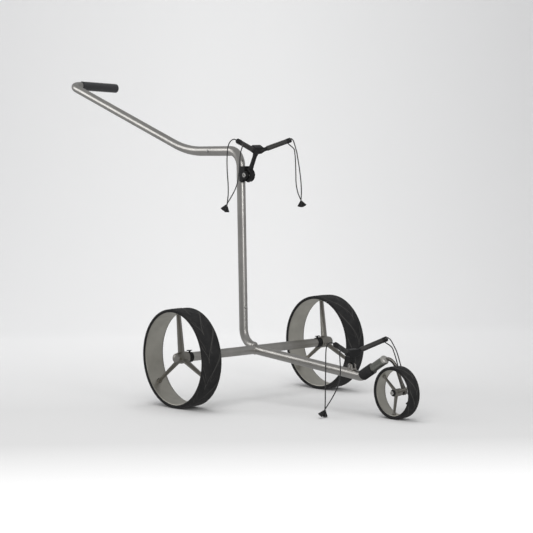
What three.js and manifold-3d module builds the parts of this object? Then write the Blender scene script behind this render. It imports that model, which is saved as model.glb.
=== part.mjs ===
// Three-wheeled golf push cart: bent tube frame, two quick-release main wheels, one front wheel on
// a fork, a lift-off upright, a plug-in handle and two tilting bag cradles with elastic cords.
// Millimetres. +Z is up, the front of the cart is -Y and the cart's left side is +X.

import * as THREE from 'three';
import { mergeVertices } from 'three/addons/utils/BufferGeometryUtils.js';
import Module from 'manifold-3d';

const wasm = await Module();
wasm.setup();

// ---- Driving dimensions -------------------------------------------------------------------------

const GAP = 0.3;                      // clearance between touching pieces
const RUNNING_GAP = 0.5;              // radial clearance of faceted shafts in faceted bores

const TUBE_R = 13;                    // upright, socket and handle tube
const TUBE_BORE_R = 11;
const SPIGOT_R = 10.6;                // reduced tube ends that plug into the next tube
const SPIGOT_BORE_R = 8.8;

const WHEEL_R = 145;
const WHEEL_HALF_W = 34;
const WHEEL_X = 279.7;                // centre plane of each main wheel
const TYRE_BORE_R = 138.5;
const RIM_BORE_R = 134.2;
const SPOKE_ANGLES = [95, 215, 335];  // degrees from forward, rising

const AXLE_Z = WHEEL_R;
const AXLE_R = 13.25;
const AXLE_BORE_R = 11.25;
const AXLE_HALF_L = 256.5;
const PIN_R = 6;
const TAB_X = 250;                    // where the release tab's stem enters the axle
const TAB_STEM_R = 3;

const MAIN_TUBE_R = 14;
const MAIN_TUBE_BORE_R = 12;
const NOSE = new THREE.Vector3(0, -466, 105.8);   // bend at the front of the main tube
const NOSE_RISE = THREE.MathUtils.degToRad(29.7); // rise of the fork axis
const NOSE_BEND_R = 24;
const STUB_LENGTH = 52;

const FRONT_WHEEL = new THREE.Vector3(0, -606.7, 73);
const FRONT_R = 73;
const FRONT_HALF_W = 18.7;
const FRONT_SPOKE_ANGLES = [20, 140, 260];

const UPRIGHT_Y = 54;
const SOCKET_BEND_R = 50;
const SOCKET_TOP_Z = 234;
const UPRIGHT_BUTTON_Z = 270;
const ARCH_Z = 742;                   // axis height of the upright's horizontal end
const ARCH_BEND_R = 46;
const ARCH_END_Y = 182;
const JOINT_SWELL = 1.14;            // the tubes swell where the handle plugs in

const HANDLE_BEND_Y = 313.5;
const HANDLE_BEND_R = 420;
const ELBOW_R = 46;
const HANDLE_CORNER = new THREE.Vector3(0, 955.5, 968);
const HANDLE_BUTTON_Y = 194;
const GRIP_START_X = 46;
const GRIP_END = new THREE.Vector3(193, 955.5, 957);
const GRIP_R = 15.2;

const UPPER_PIVOT = new THREE.Vector3(0, 17, 670);
const UPPER_YOKE = new THREE.Vector3(0, -23, 746);
const UPPER_ARM_ROOT = new THREE.Vector3(0, -23, 738);   // where the two arms' centre lines meet
const UPPER_EYE = new THREE.Vector3(97.6, -56.5, 770.7);
const LOWER_PIVOT = new THREE.Vector3(0, -426, 132);
const LOWER_YOKE = new THREE.Vector3(0, -430, 169);
const LOWER_ARM_ROOT = new THREE.Vector3(0, -420, 164);
const LOWER_EYE = new THREE.Vector3(94.7, -465.2, 202.1);

const FOOT_DISC_R = 20.5;
const CHEEK_INNER_X = 8.4;
const CHEEK_OUTER_X = 15;
const YOKE_HALF_W = 23;
const YOKE_H = 22;
const YOKE_D = 19;
const ARM_START = 32;                 // arm's inner end, measured from where the centre lines meet
const ARM_R = 7.5;
const EYE_TO_END = 7;                 // cord eye to the arm's outer end
const EYE_R = 2.5;
const EYE_TILT = { right: 30, left: -22 };  // degrees by which an eye rises towards the rear

const CORD_R = 1.65;
const TOGGLE_R = 7.5;
const TOGGLE_L = 18;
const TOGGLE_GAP = 1.1;               // cord end to toggle, along the toggle's axis

// ---- Materials ----------------------------------------------------------------------------------

function material(color, roughness, metalness) {
  return new THREE.MeshStandardMaterial({ color, roughness, metalness });
}

const satinMetal = material(0xa9a8a4, 0.42, 0.9);
const rimMetal = material(0xaaa69b, 0.5, 0.8);
const brightSteel = material(0xd8d8d6, 0.2, 1);
const ribbedMetal = material(0x8a8c88, 0.5, 0.8);
const blackRubber = material(0x2e2f31, 0.8, 0);
const blackPlastic = material(0x222325, 0.5, 0);
const armPlastic = material(0x4a4846, 0.6, 0);
const gripFoam = material(0x26262a, 0.95, 0);
const cordFabric = material(0x2a2a2c, 0.85, 0);

// ---- Solid helpers ------------------------------------------------------------------------------

function toSolid(geometry) {
  const plain = geometry.clone();
  plain.deleteAttribute('normal');
  plain.deleteAttribute('uv');
  const welded = mergeVertices(plain, 1e-4);
  const corners = welded.index.array;
  const triangles = [];
  for (let i = 0; i < corners.length; i += 3) {
    const [a, b, c] = [corners[i], corners[i + 1], corners[i + 2]];
    if (a !== b && b !== c && c !== a) triangles.push(a, b, c);
  }
  const vertProperties = new Float32Array(welded.attributes.position.array);
  const triVerts = new Uint32Array(triangles);
  return new wasm.Manifold(new wasm.Mesh({ numProp: 3, vertProperties, triVerts }));
}

function toGeometry(solid) {
  const { vertProperties, triVerts } = solid.getMesh();
  const geometry = new THREE.BufferGeometry();
  geometry.setAttribute('position', new THREE.BufferAttribute(new Float32Array(vertProperties), 3));
  geometry.setIndex(new THREE.BufferAttribute(new Uint32Array(triVerts), 1));
  geometry.computeVertexNormals();
  return geometry;
}

function join(...pieces) {
  return toGeometry(pieces.map(toSolid).reduce((sum, piece) => sum.add(piece)));
}

function cut(body, ...tools) {
  return toGeometry(tools.map(toSolid).reduce((rest, tool) => rest.subtract(tool), toSolid(body)));
}

// Turned piece about +X. The outline is a list of [x, radius], from low x to high x.
function turned(outline, sides = 16) {
  const points = outline.map(([x, r]) => new THREE.Vector2(r, x));
  return new THREE.LatheGeometry(points, sides).rotateZ(-Math.PI / 2);
}

function rod(x0, x1, r, sides = 16) {
  return turned([[x0, 0], [x0, r], [x1, r], [x1, 0]], sides);
}

// Cutting rod about +X whose flats, not its corners, lie at the radius, so a round shaft clears them.
function drill(x0, x1, r, sides = 16) {
  return rod(x0, x1, r / Math.cos(Math.PI / sides), sides);
}

// Sleeve about +X whose outer surface follows the outline and whose plain bore clears a round shaft.
function sleeve(outline, bore, sides = 16) {
  const first = outline[0][0];
  const last = outline[outline.length - 1][0];
  const inner = bore / Math.cos(Math.PI / sides);
  return turned([[first, inner], ...outline, [last, inner], [first, inner]], sides);
}

function box(x0, x1, y0, y1, z0, z1) {
  const block = new THREE.BoxGeometry(x1 - x0, y1 - y0, z1 - z0);
  return block.translate((x0 + x1) / 2, (y0 + y1) / 2, (z0 + z1) / 2);
}

// Turns a piece made about +X so that its axis points along a direction from a start point.
function aim(geometry, start, direction) {
  const turn = new THREE.Quaternion();
  turn.setFromUnitVectors(new THREE.Vector3(1, 0, 0), direction.clone().normalize());
  return geometry.applyQuaternion(turn).translate(start.x, start.y, start.z);
}

// Plate in the YZ plane, from an outline in (y, z), between two x positions.
function plate(shape, x0, x1, curveSegments = 8) {
  const solid = new THREE.ExtrudeGeometry(shape, { depth: x1 - x0, bevelEnabled: false, curveSegments });
  return solid.rotateZ(Math.PI / 2).rotateY(Math.PI / 2).translate(x0, 0, 0);
}

// Centre line that gives sections only at its own stations, each a point with a tangent.
class StationLine extends THREE.Curve {
  constructor(stations) {
    super();
    this.stations = stations;
  }

  get steps() {
    return this.stations.length - 1;
  }

  station(u) {
    return this.stations[Math.round(u * this.steps)];
  }

  getPointAt(u, target = new THREE.Vector3()) {
    return target.copy(this.station(u).point);
  }

  getTangentAt(u, target = new THREE.Vector3()) {
    return target.copy(this.station(u).tangent);
  }
}

// A circular bend at a corner, as stations from its start to its end.
function bendStations(before, corner, after, radius, steps) {
  const incoming = corner.clone().sub(before).normalize();
  const outgoing = after.clone().sub(corner).normalize();
  const angle = incoming.angleTo(outgoing);
  const start = corner.clone().addScaledVector(incoming, -radius * Math.tan(angle / 2));
  const axis = incoming.clone().cross(outgoing).normalize();
  const centre = start.clone().addScaledVector(axis.clone().cross(incoming), radius);
  return Array.from({ length: steps + 1 }, (_, step) => {
    const turn = angle * step / steps;
    const point = start.clone().sub(centre).applyAxisAngle(axis, turn).add(centre);
    return { point, tangent: incoming.clone().applyAxisAngle(axis, turn) };
  });
}

// Straight runs between corners, joined by bends, each given as { radius, steps }.
function bentLine(corners, bends) {
  const last = corners.length - 1;
  const stations = [{ point: corners[0], tangent: corners[1].clone().sub(corners[0]).normalize() }];
  bends.forEach(({ radius, steps }, i) => {
    stations.push(...bendStations(corners[i], corners[i + 1], corners[i + 2], radius, steps));
  });
  stations.push({ point: corners[last], tangent: corners[last].clone().sub(corners[last - 1]).normalize() });
  return new StationLine(stations);
}

// Smooth curve through points, with one section at each point.
function splineLine(points) {
  const curve = new THREE.CatmullRomCurve3(points);
  const last = points.length - 1;
  return new StationLine(points.map((point, i) => ({ point, tangent: curve.getTangent(i / last) })));
}

function circle(r, sides) {
  const corners = [];
  for (let i = 0; i < sides; i++) {
    const angle = 2 * Math.PI * i / sides;
    corners.push(new THREE.Vector2(r * Math.cos(angle), r * Math.sin(angle)));
  }
  return corners;
}

function tubeAlong(line, r, bore, sides = 16) {
  const section = new THREE.Shape(circle(r, sides));
  if (bore > 0) section.holes.push(new THREE.Path(circle(bore, sides)));
  return new THREE.ExtrudeGeometry(section, { steps: line.steps, extrudePath: line, bevelEnabled: false });
}

// Widens a tube about its centre line by a factor given for each station.
function swell(tube, line, factors) {
  const position = tube.attributes.position;
  const point = new THREE.Vector3();
  for (let i = 0; i < position.count; i++) {
    point.fromBufferAttribute(position, i);
    const offsets = line.stations.map((station) => point.clone().sub(station.point));
    const planes = offsets.map((offset, k) => Math.abs(offset.dot(line.stations[k].tangent)));
    const near = offsets.map((offset, k) => planes[k] + (offset.length() < TUBE_R * 1.5 ? 0 : Infinity));
    const station = near.indexOf(Math.min(...near));
    point.copy(offsets[station]).multiplyScalar(factors[station]).add(line.stations[station].point);
    position.setXYZ(i, point.x, point.y, point.z);
  }
  return tube;
}

// Factors that run evenly from one value to another over a bend, with one more station at each end.
function ramp(from, to, steps) {
  return [from, ...Array.from({ length: steps + 1 }, (_, k) => from + (to - from) * k / steps), to];
}

function bentTube(corners, radius, steps, r, bore) {
  return tubeAlong(bentLine(corners, [{ radius, steps }]), r, bore);
}

const vector = (x, y, z) => new THREE.Vector3(x, y, z);

const cart = new THREE.Group();

function add(name, geometry, finish, parent = cart) {
  const mesh = new THREE.Mesh(geometry, finish);
  mesh.name = name;
  parent.add(mesh);
  return mesh;
}

// ---- Main wheels --------------------------------------------------------------------------------
// Each is made about +X with +X pointing outboard, and the right wheel is turned half round.

// A tyre that wraps over both ends of its rim. Its flanges reach inwards from the bore to the face radius.
function tyreGeometry(halfWidth, radius, bore, face, flange, sides) {
  const half = [[halfWidth * 0.5, radius - 0.15], [halfWidth - 1.6, radius - 0.6], [halfWidth, radius - 1.7],
    [halfWidth, face], [halfWidth - flange, face], [halfWidth - flange, bore]];
  const mirrored = half.map(([x, r]) => [-x, r]).reverse();
  return turned([...mirrored, ...half, mirrored[0]], sides);
}

// A spoke of diamond section, wide along the axle, tapering from the hub to a flared foot on the rim.
function spokeGeometry(angle, innerR, outerR, hub, rim) {
  const foot = outerR - 5;
  const stations = [[innerR, hub], [foot, rim], [outerR - 1.5, { wide: rim.wide * 1.15, thick: rim.thick * 1.5 }],
    [outerR, { wide: rim.wide * 1.3, thick: rim.thick * 2 }]];
  const section = new THREE.Shape([[1, 0], [0, 1], [-1, 0], [0, -1]].map(([x, y]) => new THREE.Vector2(x, y)));
  const bar = new THREE.ExtrudeGeometry(section, { depth: 1, steps: stations.length - 1, bevelEnabled: false });
  const position = bar.attributes.position;
  for (let i = 0; i < position.count; i++) {
    const [r, size] = stations[Math.round(position.getZ(i) * (stations.length - 1))];
    position.setXYZ(i, position.getX(i) * size.wide / 2, position.getY(i) * size.thick / 2, r);
  }
  return bar.rotateX(Math.PI / 2 - angle);
}

// Angles run from forward (-Y) upward, so a spoke made along +Z is turned to its own angle.
function spiderGeometry(hubOutline, hubBore, angles, innerR, outerR, hubSize, rimSize) {
  const spokes = angles.map((degrees) => {
    return spokeGeometry(THREE.MathUtils.degToRad(degrees), innerR, outerR, hubSize, rimSize);
  });
  const x0 = hubOutline[0][0];
  const x1 = hubOutline[hubOutline.length - 1][0];
  const body = join(rod(x0, x1, hubBore + 1), ...spokes);
  return cut(join(body, sleeve(hubOutline, hubBore)), drill(-60, 60, hubBore));
}

const HUB_BORE_R = 11.3;
const HUB_END_X = 20;
const BEARING_R = 11;
const RIM_HALF_L = 31.3;
const TYRE_FACE_R = 135.4;

function addWheel(side, label) {
  const wheel = new THREE.Group();
  wheel.position.set(side * WHEEL_X, 0, AXLE_Z);
  wheel.rotation.z = side > 0 ? 0 : Math.PI;
  cart.add(wheel);
  const angles = SPOKE_ANGLES.map((degrees) => (side > 0 ? degrees : 180 - degrees));
  const hub = [[-19.5, 16.4], [-18.5, 17.4], [4, 17.2], [HUB_END_X, 14.4]];

  add(`${label}_tyre`, tyreGeometry(WHEEL_HALF_W, WHEEL_R, TYRE_BORE_R, TYRE_FACE_R, 2.3, 40), blackRubber, wheel);
  add(`${label}_rim`, sleeve([[-RIM_HALF_L, TYRE_FACE_R], [-RIM_HALF_L, TYRE_BORE_R - GAP],
    [RIM_HALF_L, TYRE_BORE_R - GAP], [RIM_HALF_L, TYRE_FACE_R]], RIM_BORE_R, 40), rimMetal, wheel);
  add(`${label}_spider`, spiderGeometry(hub, HUB_BORE_R, angles, 12, RIM_BORE_R - GAP * 2, { wide: 25, thick: 14 },
    { wide: 17, thick: 9 }), satinMetal, wheel);
  add(`${label}_hub_cap`, turned([[13, 0], [13, 10.9], [HUB_END_X + GAP, 10.9], [HUB_END_X + GAP, 14.2],
    [24, 12], [27.4, 8], [29.4, 3.8], [30, 0]], 20), brightSteel, wheel);
  add(`${label}_bearings`, sleeve([[-17, BEARING_R], [-10, BEARING_R], [-10, 8.4], [3, 8.4], [3, BEARING_R],
    [10, BEARING_R]], PIN_R + RUNNING_GAP, 14), brightSteel, wheel);
  add(`${label}_axle_pin`, turned([[-118, 0], [-118, 4.6], [-116, PIN_R], [-22.6, PIN_R], [-22.6, 14],
    [-20, 14], [-20, PIN_R], [10.4, PIN_R], [10.4, 8.6], [12.6, 8.6], [12.6, 0]], 14), brightSteel, wheel);
}

// ---- Axle, its sockets, collars and release tabs --------------------------------------------------

function addAxle() {
  const holes = [-1, 1].map((side) => {
    return aim(drill(0, 30, TAB_STEM_R + RUNNING_GAP, 16), vector(side * TAB_X, 0, 0), vector(0, 0, 1));
  });
  const tube = sleeve([[-AXLE_HALF_L, AXLE_R], [AXLE_HALF_L, AXLE_R]], AXLE_BORE_R, 16);
  add('axle_tube', cut(tube, ...holes).translate(0, 0, AXLE_Z), satinMetal);
}

function addAxleEnd(side, label) {
  const end = new THREE.Group();
  end.position.z = AXLE_Z;
  end.rotation.z = side > 0 ? 0 : Math.PI;
  cart.add(end);
  const stemHole = aim(drill(0, 30, TAB_STEM_R + RUNNING_GAP, 16), vector(TAB_X, 0, 0), vector(0, 0, 1));
  const socket = sleeve([[150, AXLE_BORE_R - GAP], [AXLE_HALF_L, AXLE_BORE_R - GAP]], PIN_R + RUNNING_GAP, 16);
  add(`${label}_axle_socket`, cut(socket, stemHole), brightSteel, end);

  const collar = sleeve([[244.5, 14.8], [245.3, 15.4], [249, 15.4], [249.5, 14.6], [251.5, 14.6], [252, 15.4],
    [AXLE_HALF_L, 15.4]], AXLE_R + GAP, 16);
  add(`${label}_collar`, cut(collar, box(240, 254.4, -4, 4, 10, 20)), blackPlastic, end);

  const stem = aim(rod(9, 19, TAB_STEM_R, 12), vector(TAB_X, 0, 0), vector(0, 0, 1));
  const lever = box(243, 259, -3.5, 3.5, 18.2, 20.8);
  add(`${label}_release_tab`, join(lever, stem), blackPlastic, end);
}

// ---- Welded frame -------------------------------------------------------------------------------

const noseAxis = vector(0, -Math.cos(NOSE_RISE), Math.sin(NOSE_RISE));

function onNose(distance) {
  return NOSE.clone().addScaledVector(noseAxis, distance);
}

function addFrame() {
  const axleClearance = drill(-60, 60, AXLE_R + GAP, 20).translate(0, 0, AXLE_Z);
  const main = bentTube([vector(0, -6, 144.5), NOSE, onNose(STUB_LENGTH)], NOSE_BEND_R, 3,
    MAIN_TUBE_R, MAIN_TUBE_BORE_R);
  add('main_tube', cut(main, axleClearance), satinMetal);

  const bendStart = vector(0, UPRIGHT_Y - SOCKET_BEND_R, SOCKET_TOP_Z - 79);
  const corner = vector(0, UPRIGHT_Y, SOCKET_TOP_Z - 79);
  const bent = bentTube([bendStart.clone().add(vector(0, -0.5, 0)), corner, vector(0, UPRIGHT_Y, SOCKET_TOP_Z)],
    SOCKET_BEND_R - 0.5, 5, TUBE_R, TUBE_BORE_R);
  const spigot = aim(sleeve([[SOCKET_TOP_Z - 14, TUBE_BORE_R + 0.6], [SOCKET_TOP_Z - 2, TUBE_BORE_R + 0.6],
    [SOCKET_TOP_Z - 1, SPIGOT_R], [SOCKET_TOP_Z + 54, SPIGOT_R]], SPIGOT_BORE_R),
    vector(0, UPRIGHT_Y, 0), vector(0, 0, 1));
  const pocket = aim(drill(0, 30, 5.2, 16), vector(0, UPRIGHT_Y, UPRIGHT_BUTTON_Z), vector(0, -1, 0));
  add('upright_socket', cut(join(bent, spigot), axleClearance, pocket), satinMetal);

  add('front_sleeve', aim(sleeve([[6.5, 15.2], [8, 15.8], [53, 15.8], [54.5, 15.2]], MAIN_TUBE_R + GAP),
    NOSE, noseAxis), blackRubber);
}

// ---- Front fork and wheel -----------------------------------------------------------------------

const ARM_LINE = [onNose(107), vector(10, -566, 162), vector(19, -572, 155), vector(25.5, -578.5, 141.5),
  vector(28, -589.5, 114.5), vector(28, -606.7, 73)];

const FORK_ARM_R = 5.4;

function forkArm(r, lead) {
  const points = ARM_LINE.map((point) => point.clone());
  points[0].add(points[0].clone().sub(points[1]).setLength(lead));
  const curve = new THREE.CatmullRomCurve3(points);
  const stations = curve.getSpacedPoints(12).map((point, i) => ({ point, tangent: curve.getTangentAt(i / 12) }));
  return tubeAlong(new StationLine(stations), r, 0, 12);
}

function addFork() {
  const forkTube = turned([[14, 9.8], [14, MAIN_TUBE_BORE_R - 0.5], [55, MAIN_TUBE_BORE_R - 0.5], [55, 12.6],
    [105.4, 12.6], [105.4, 9.8], [14, 9.8]]);
  add('fork_tube', aim(forkTube, NOSE, noseAxis), ribbedMetal);

  const cap = aim(turned([[88, 0], [88, 9.4], [105.8, 9.4], [105.8, 13], [106.6, 13.4], [109.6, 13.4],
    [112.6, 11.6], [114, 8], [114, 0]]), NOSE, noseAxis);
  add('fork_cap', cut(cap, forkArm(FORK_ARM_R + GAP * 2, 1)), satinMetal);

  const eye = rod(23, 33, 10, 20).translate(0, FRONT_WHEEL.y, FRONT_WHEEL.z);
  const boltHole = drill(10, 45, 4 + RUNNING_GAP, 14).translate(0, FRONT_WHEEL.y, FRONT_WHEEL.z);
  add('fork_arm', cut(join(forkArm(FORK_ARM_R, 0), eye), boltHole), satinMetal);
}

function addFrontWheel() {
  const wheel = new THREE.Group();
  wheel.position.copy(FRONT_WHEEL);
  cart.add(wheel);
  const hub = [[-12, 9.8], [-11, 10.6], [13, 10.6], [15, 9.6]];
  add('front_tyre', tyreGeometry(FRONT_HALF_W, FRONT_R, 66.4, 63.8, 2.2, 32), blackRubber, wheel);
  add('front_rim', sleeve([[-16.1, 63.8], [-16.1, 66.1], [16.1, 66.1], [16.1, 63.8]], 62.6, 32), rimMetal, wheel);
  add('front_spider', spiderGeometry(hub, 7.4, FRONT_SPOKE_ANGLES, 8, 62, { wide: 14, thick: 10 },
    { wide: 10, thick: 7 }), satinMetal, wheel);
  add('front_bearings', sleeve([[-15, 8.6], [-14.2, 9.6], [-12.4, 9.6], [-12.4, 7], [-9, 7], [-9, 5.6], [9, 5.6],
    [9, 7], [15.6, 7]], 4 + RUNNING_GAP, 14), blackPlastic, wheel);
  add('front_axle_bolt', turned([[-20, 0], [-20, 4.8], [-19, 5.8], [-15.4, 5.8], [-15.4, 4], [40, 4],
    [40, 0]], 14), brightSteel, wheel);
  add('front_axle_nut', sleeve([[34.4, 6.8], [38.8, 6.8]], 4 + RUNNING_GAP, 6), brightSteel, wheel);
}

// ---- Upright ------------------------------------------------------------------------------------

function addUpright() {
  const line = bentLine([vector(0, UPRIGHT_Y, SOCKET_TOP_Z + GAP), vector(0, UPRIGHT_Y, ARCH_Z),
    vector(0, ARCH_END_Y, ARCH_Z)], [{ radius: ARCH_BEND_R, steps: 6 }]);
  const tube = swell(tubeAlong(line, TUBE_R, TUBE_BORE_R), line, ramp(1, JOINT_SWELL, 6));
  const buttonHole = aim(drill(0, 30, 4.9, 16), vector(0, UPRIGHT_Y, UPRIGHT_BUTTON_Z), vector(0, -1, 0));
  add('upright_tube', cut(tube, buttonHole), satinMetal);
  const button = rod(11.2, 16, 4.4, 16);
  add('upright_button', aim(button, vector(0, UPRIGHT_Y, UPRIGHT_BUTTON_Z), vector(0, -1, 0)), brightSteel);
}

function cheekShape() {
  const shape = new THREE.Shape();
  const { y, z } = UPPER_PIVOT;
  const rear = 45;
  shape.moveTo(rear, 696);
  shape.lineTo(y + 3, 696);
  shape.absarc(y, z, 11.8, Math.PI * 0.42, Math.PI * 1.42, false);
  shape.lineTo(y + 10, 652);
  shape.absarc(y + 16, 653, 6, Math.PI, Math.PI * 1.6, false);
  shape.lineTo(rear, 652);
  return shape;
}

function addBracket() {
  const cheeks = [[-CHEEK_OUTER_X, -CHEEK_INNER_X], [CHEEK_INNER_X, CHEEK_OUTER_X]];
  const sides = cheeks.map(([x0, x1]) => plate(cheekShape(), x0, x1));
  const web = box(-CHEEK_OUTER_X, CHEEK_OUTER_X, 34, 45, 652, 695);
  const tubeRoom = aim(drill(600, 740, TUBE_R + GAP, 16), vector(0, UPRIGHT_Y, 0), vector(0, 0, 1));
  const discRoom = drill(-CHEEK_INNER_X, CHEEK_INNER_X, FOOT_DISC_R + 0.8, 24).translate(0, UPPER_PIVOT.y, UPPER_PIVOT.z);
  const boltHole = drill(-40, 40, 4 + RUNNING_GAP, 14).translate(0, UPPER_PIVOT.y, UPPER_PIVOT.z);
  add('cradle_bracket', cut(join(web, ...sides), tubeRoom, discRoom, boltHole), blackPlastic);

  const bolt = turned([[-20.5, 0], [-20.5, 6.4], [-19.6, 7.2], [-CHEEK_OUTER_X - GAP, 7.2],
    [-CHEEK_OUTER_X - GAP, 4], [CHEEK_OUTER_X + GAP, 4], [CHEEK_OUTER_X + GAP, 6.8], [20, 6.8], [20, 0]], 14);
  add('cradle_pivot_bolt', bolt.translate(0, UPPER_PIVOT.y, UPPER_PIVOT.z), brightSteel);
}

// ---- Bag cradles --------------------------------------------------------------------------------

function armDirection(root, eye, side) {
  return vector(side * eye.x, eye.y, eye.z).sub(root).normalize();
}

// Direction of a cord eye, square to its arm in plan and pointing rearward.
function eyeDirection(root, eye, side) {
  const arm = armDirection(root, eye, side);
  const level = vector(-arm.y, arm.x, 0).multiplyScalar(side).normalize();
  const tilt = THREE.MathUtils.degToRad(side > 0 ? EYE_TILT.left : EYE_TILT.right);
  return level.multiplyScalar(Math.cos(tilt)).add(vector(0, 0, Math.sin(tilt)));
}

// Outline of the yoke's front, in x and height.
const YOKE_OUTLINE = [[-1, 0.27], [-0.65, 0.5], [0.65, 0.5], [1, 0.27], [1, -0.23], [0.61, -0.5], [-0.61, -0.5],
  [-1, -0.23]];

function yokeGeometry(pivot, yoke, root, eye) {
  const strut = yoke.clone().sub(pivot);
  const place = (geometry) => {
    return geometry.rotateX(Math.atan2(-strut.y, strut.z)).translate(yoke.x, yoke.y, yoke.z);
  };
  const outline = new THREE.Shape(YOKE_OUTLINE.map(([x, z]) => new THREE.Vector2(x * YOKE_HALF_W, z * YOKE_H)));
  const block = new THREE.ExtrudeGeometry(outline, { depth: YOKE_D, bevelEnabled: false });
  place(block.translate(0, 0, -YOKE_D / 2).rotateX(Math.PI / 2));
  const neckEnd = ARM_START - GAP;
  const neck = [[8, 0], [8, 7], [20, 7], [neckEnd, 5.4], [neckEnd, 0]];
  const necks = [-1, 1].map((side) => aim(turned(neck, 14), root, armDirection(root, eye, side)));
  // Room in front of the face that a bag lies against, so that no neck stands proud of it.
  const front = -YOKE_D / 2;
  const bagRoom = place(box(-YOKE_HALF_W, YOKE_HALF_W, front - YOKE_D, front, -YOKE_H, YOKE_H));
  return cut(join(block, ...necks), bagRoom);
}

function armGeometry(root, eye, side) {
  const length = eye.distanceTo(root) + EYE_TO_END;
  const arm = turned([[ARM_START, 0], [ARM_START, ARM_R - 1.4], [ARM_START + 2.5, ARM_R], [length - 17, ARM_R - 0.2],
    [length - 16, ARM_R + 0.3], [length - 2, ARM_R + 0.1], [length, ARM_R - 1.6], [length, 0]], 16);
  const hole = aim(drill(-18, 18, EYE_R, 12), vector(side * eye.x, eye.y, eye.z), eyeDirection(root, eye, side));
  return cut(aim(arm, root, armDirection(root, eye, side)), hole);
}

function addCradle(label, pivot, yoke, root, eye, strutGeometry) {
  add(`${label}_strut`, strutGeometry, blackPlastic);
  add(`${label}_yoke`, yokeGeometry(pivot, yoke, root, eye), blackPlastic);
  add(`${label}_left_arm`, armGeometry(root, eye, 1), armPlastic);
  add(`${label}_right_arm`, armGeometry(root, eye, -1), armPlastic);
}

// Straight bar in the YZ plane from a pivot towards a yoke, ending just short of it.
function strutBar(pivot, yoke, start, halfWidth, halfDepth) {
  const direction = yoke.clone().sub(pivot);
  const end = direction.length() - YOKE_H / 2 - GAP;
  const bar = box(-halfWidth, halfWidth, -halfDepth, halfDepth, start, end);
  return bar.rotateX(Math.atan2(-direction.y, direction.z)).translate(pivot.x, pivot.y, pivot.z);
}

function addUpperCradle() {
  const bar = strutBar(UPPER_PIVOT, UPPER_YOKE, 12, 4.8, 5.2);
  const disc = rod(-CHEEK_INNER_X + GAP, CHEEK_INNER_X - GAP, FOOT_DISC_R, 24);
  const boltHole = drill(-20, 20, 4 + RUNNING_GAP, 20);
  const foot = cut(disc, boltHole).translate(0, UPPER_PIVOT.y, UPPER_PIVOT.z);
  addCradle('upper', UPPER_PIVOT, UPPER_YOKE, UPPER_ARM_ROOT, UPPER_EYE, join(foot, bar));
}

const BOSS_HALF_W = 9;
const TONGUE_HALF_W = 3.6;

function addLowerCradle() {
  const { y, z } = LOWER_PIVOT;
  const boltHole = drill(-20, 20, 3 + RUNNING_GAP, 16).translate(0, y, z);
  const lug = new THREE.Shape();
  lug.moveTo(y - 13, z - 18);
  lug.absarc(y, z, 7.5, Math.PI, 0, true);
  lug.lineTo(y + 13, z - 18);
  const tubeRoom = aim(drill(0, 500, MAIN_TUBE_R + GAP, 16), vector(0, 0, AXLE_Z), NOSE.clone().sub(vector(0, 0, AXLE_Z)));
  const slot = box(-TONGUE_HALF_W - 0.4, TONGUE_HALF_W + 0.4, y - 30, y + 30, z - 6.6, z + 30);
  add('cradle_lug', cut(plate(lug, -BOSS_HALF_W, BOSS_HALF_W), tubeRoom, slot, boltHole), satinMetal);
  add('lug_bolt', turned([[-13, 0], [-13, 4.6], [-12.2, 5.4], [-BOSS_HALF_W - GAP, 5.4], [-BOSS_HALF_W - GAP, 3],
    [BOSS_HALF_W + GAP, 3], [BOSS_HALF_W + GAP, 5.2], [12.6, 5.2], [12.6, 0]], 12).translate(0, y, z), brightSteel);

  const bar = strutBar(LOWER_PIVOT, LOWER_YOKE, 9.5, 6.5, 6);
  const tongue = strutBar(LOWER_PIVOT, LOWER_YOKE, 2, TONGUE_HALF_W, 5.2);
  const foot = rod(-TONGUE_HALF_W, TONGUE_HALF_W, 5.8, 20).translate(0, y, z);
  addCradle('lower', LOWER_PIVOT, LOWER_YOKE, LOWER_ARM_ROOT, LOWER_EYE, cut(join(bar, tongue, foot), boltHole));
}

// ---- Handle -------------------------------------------------------------------------------------

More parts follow.
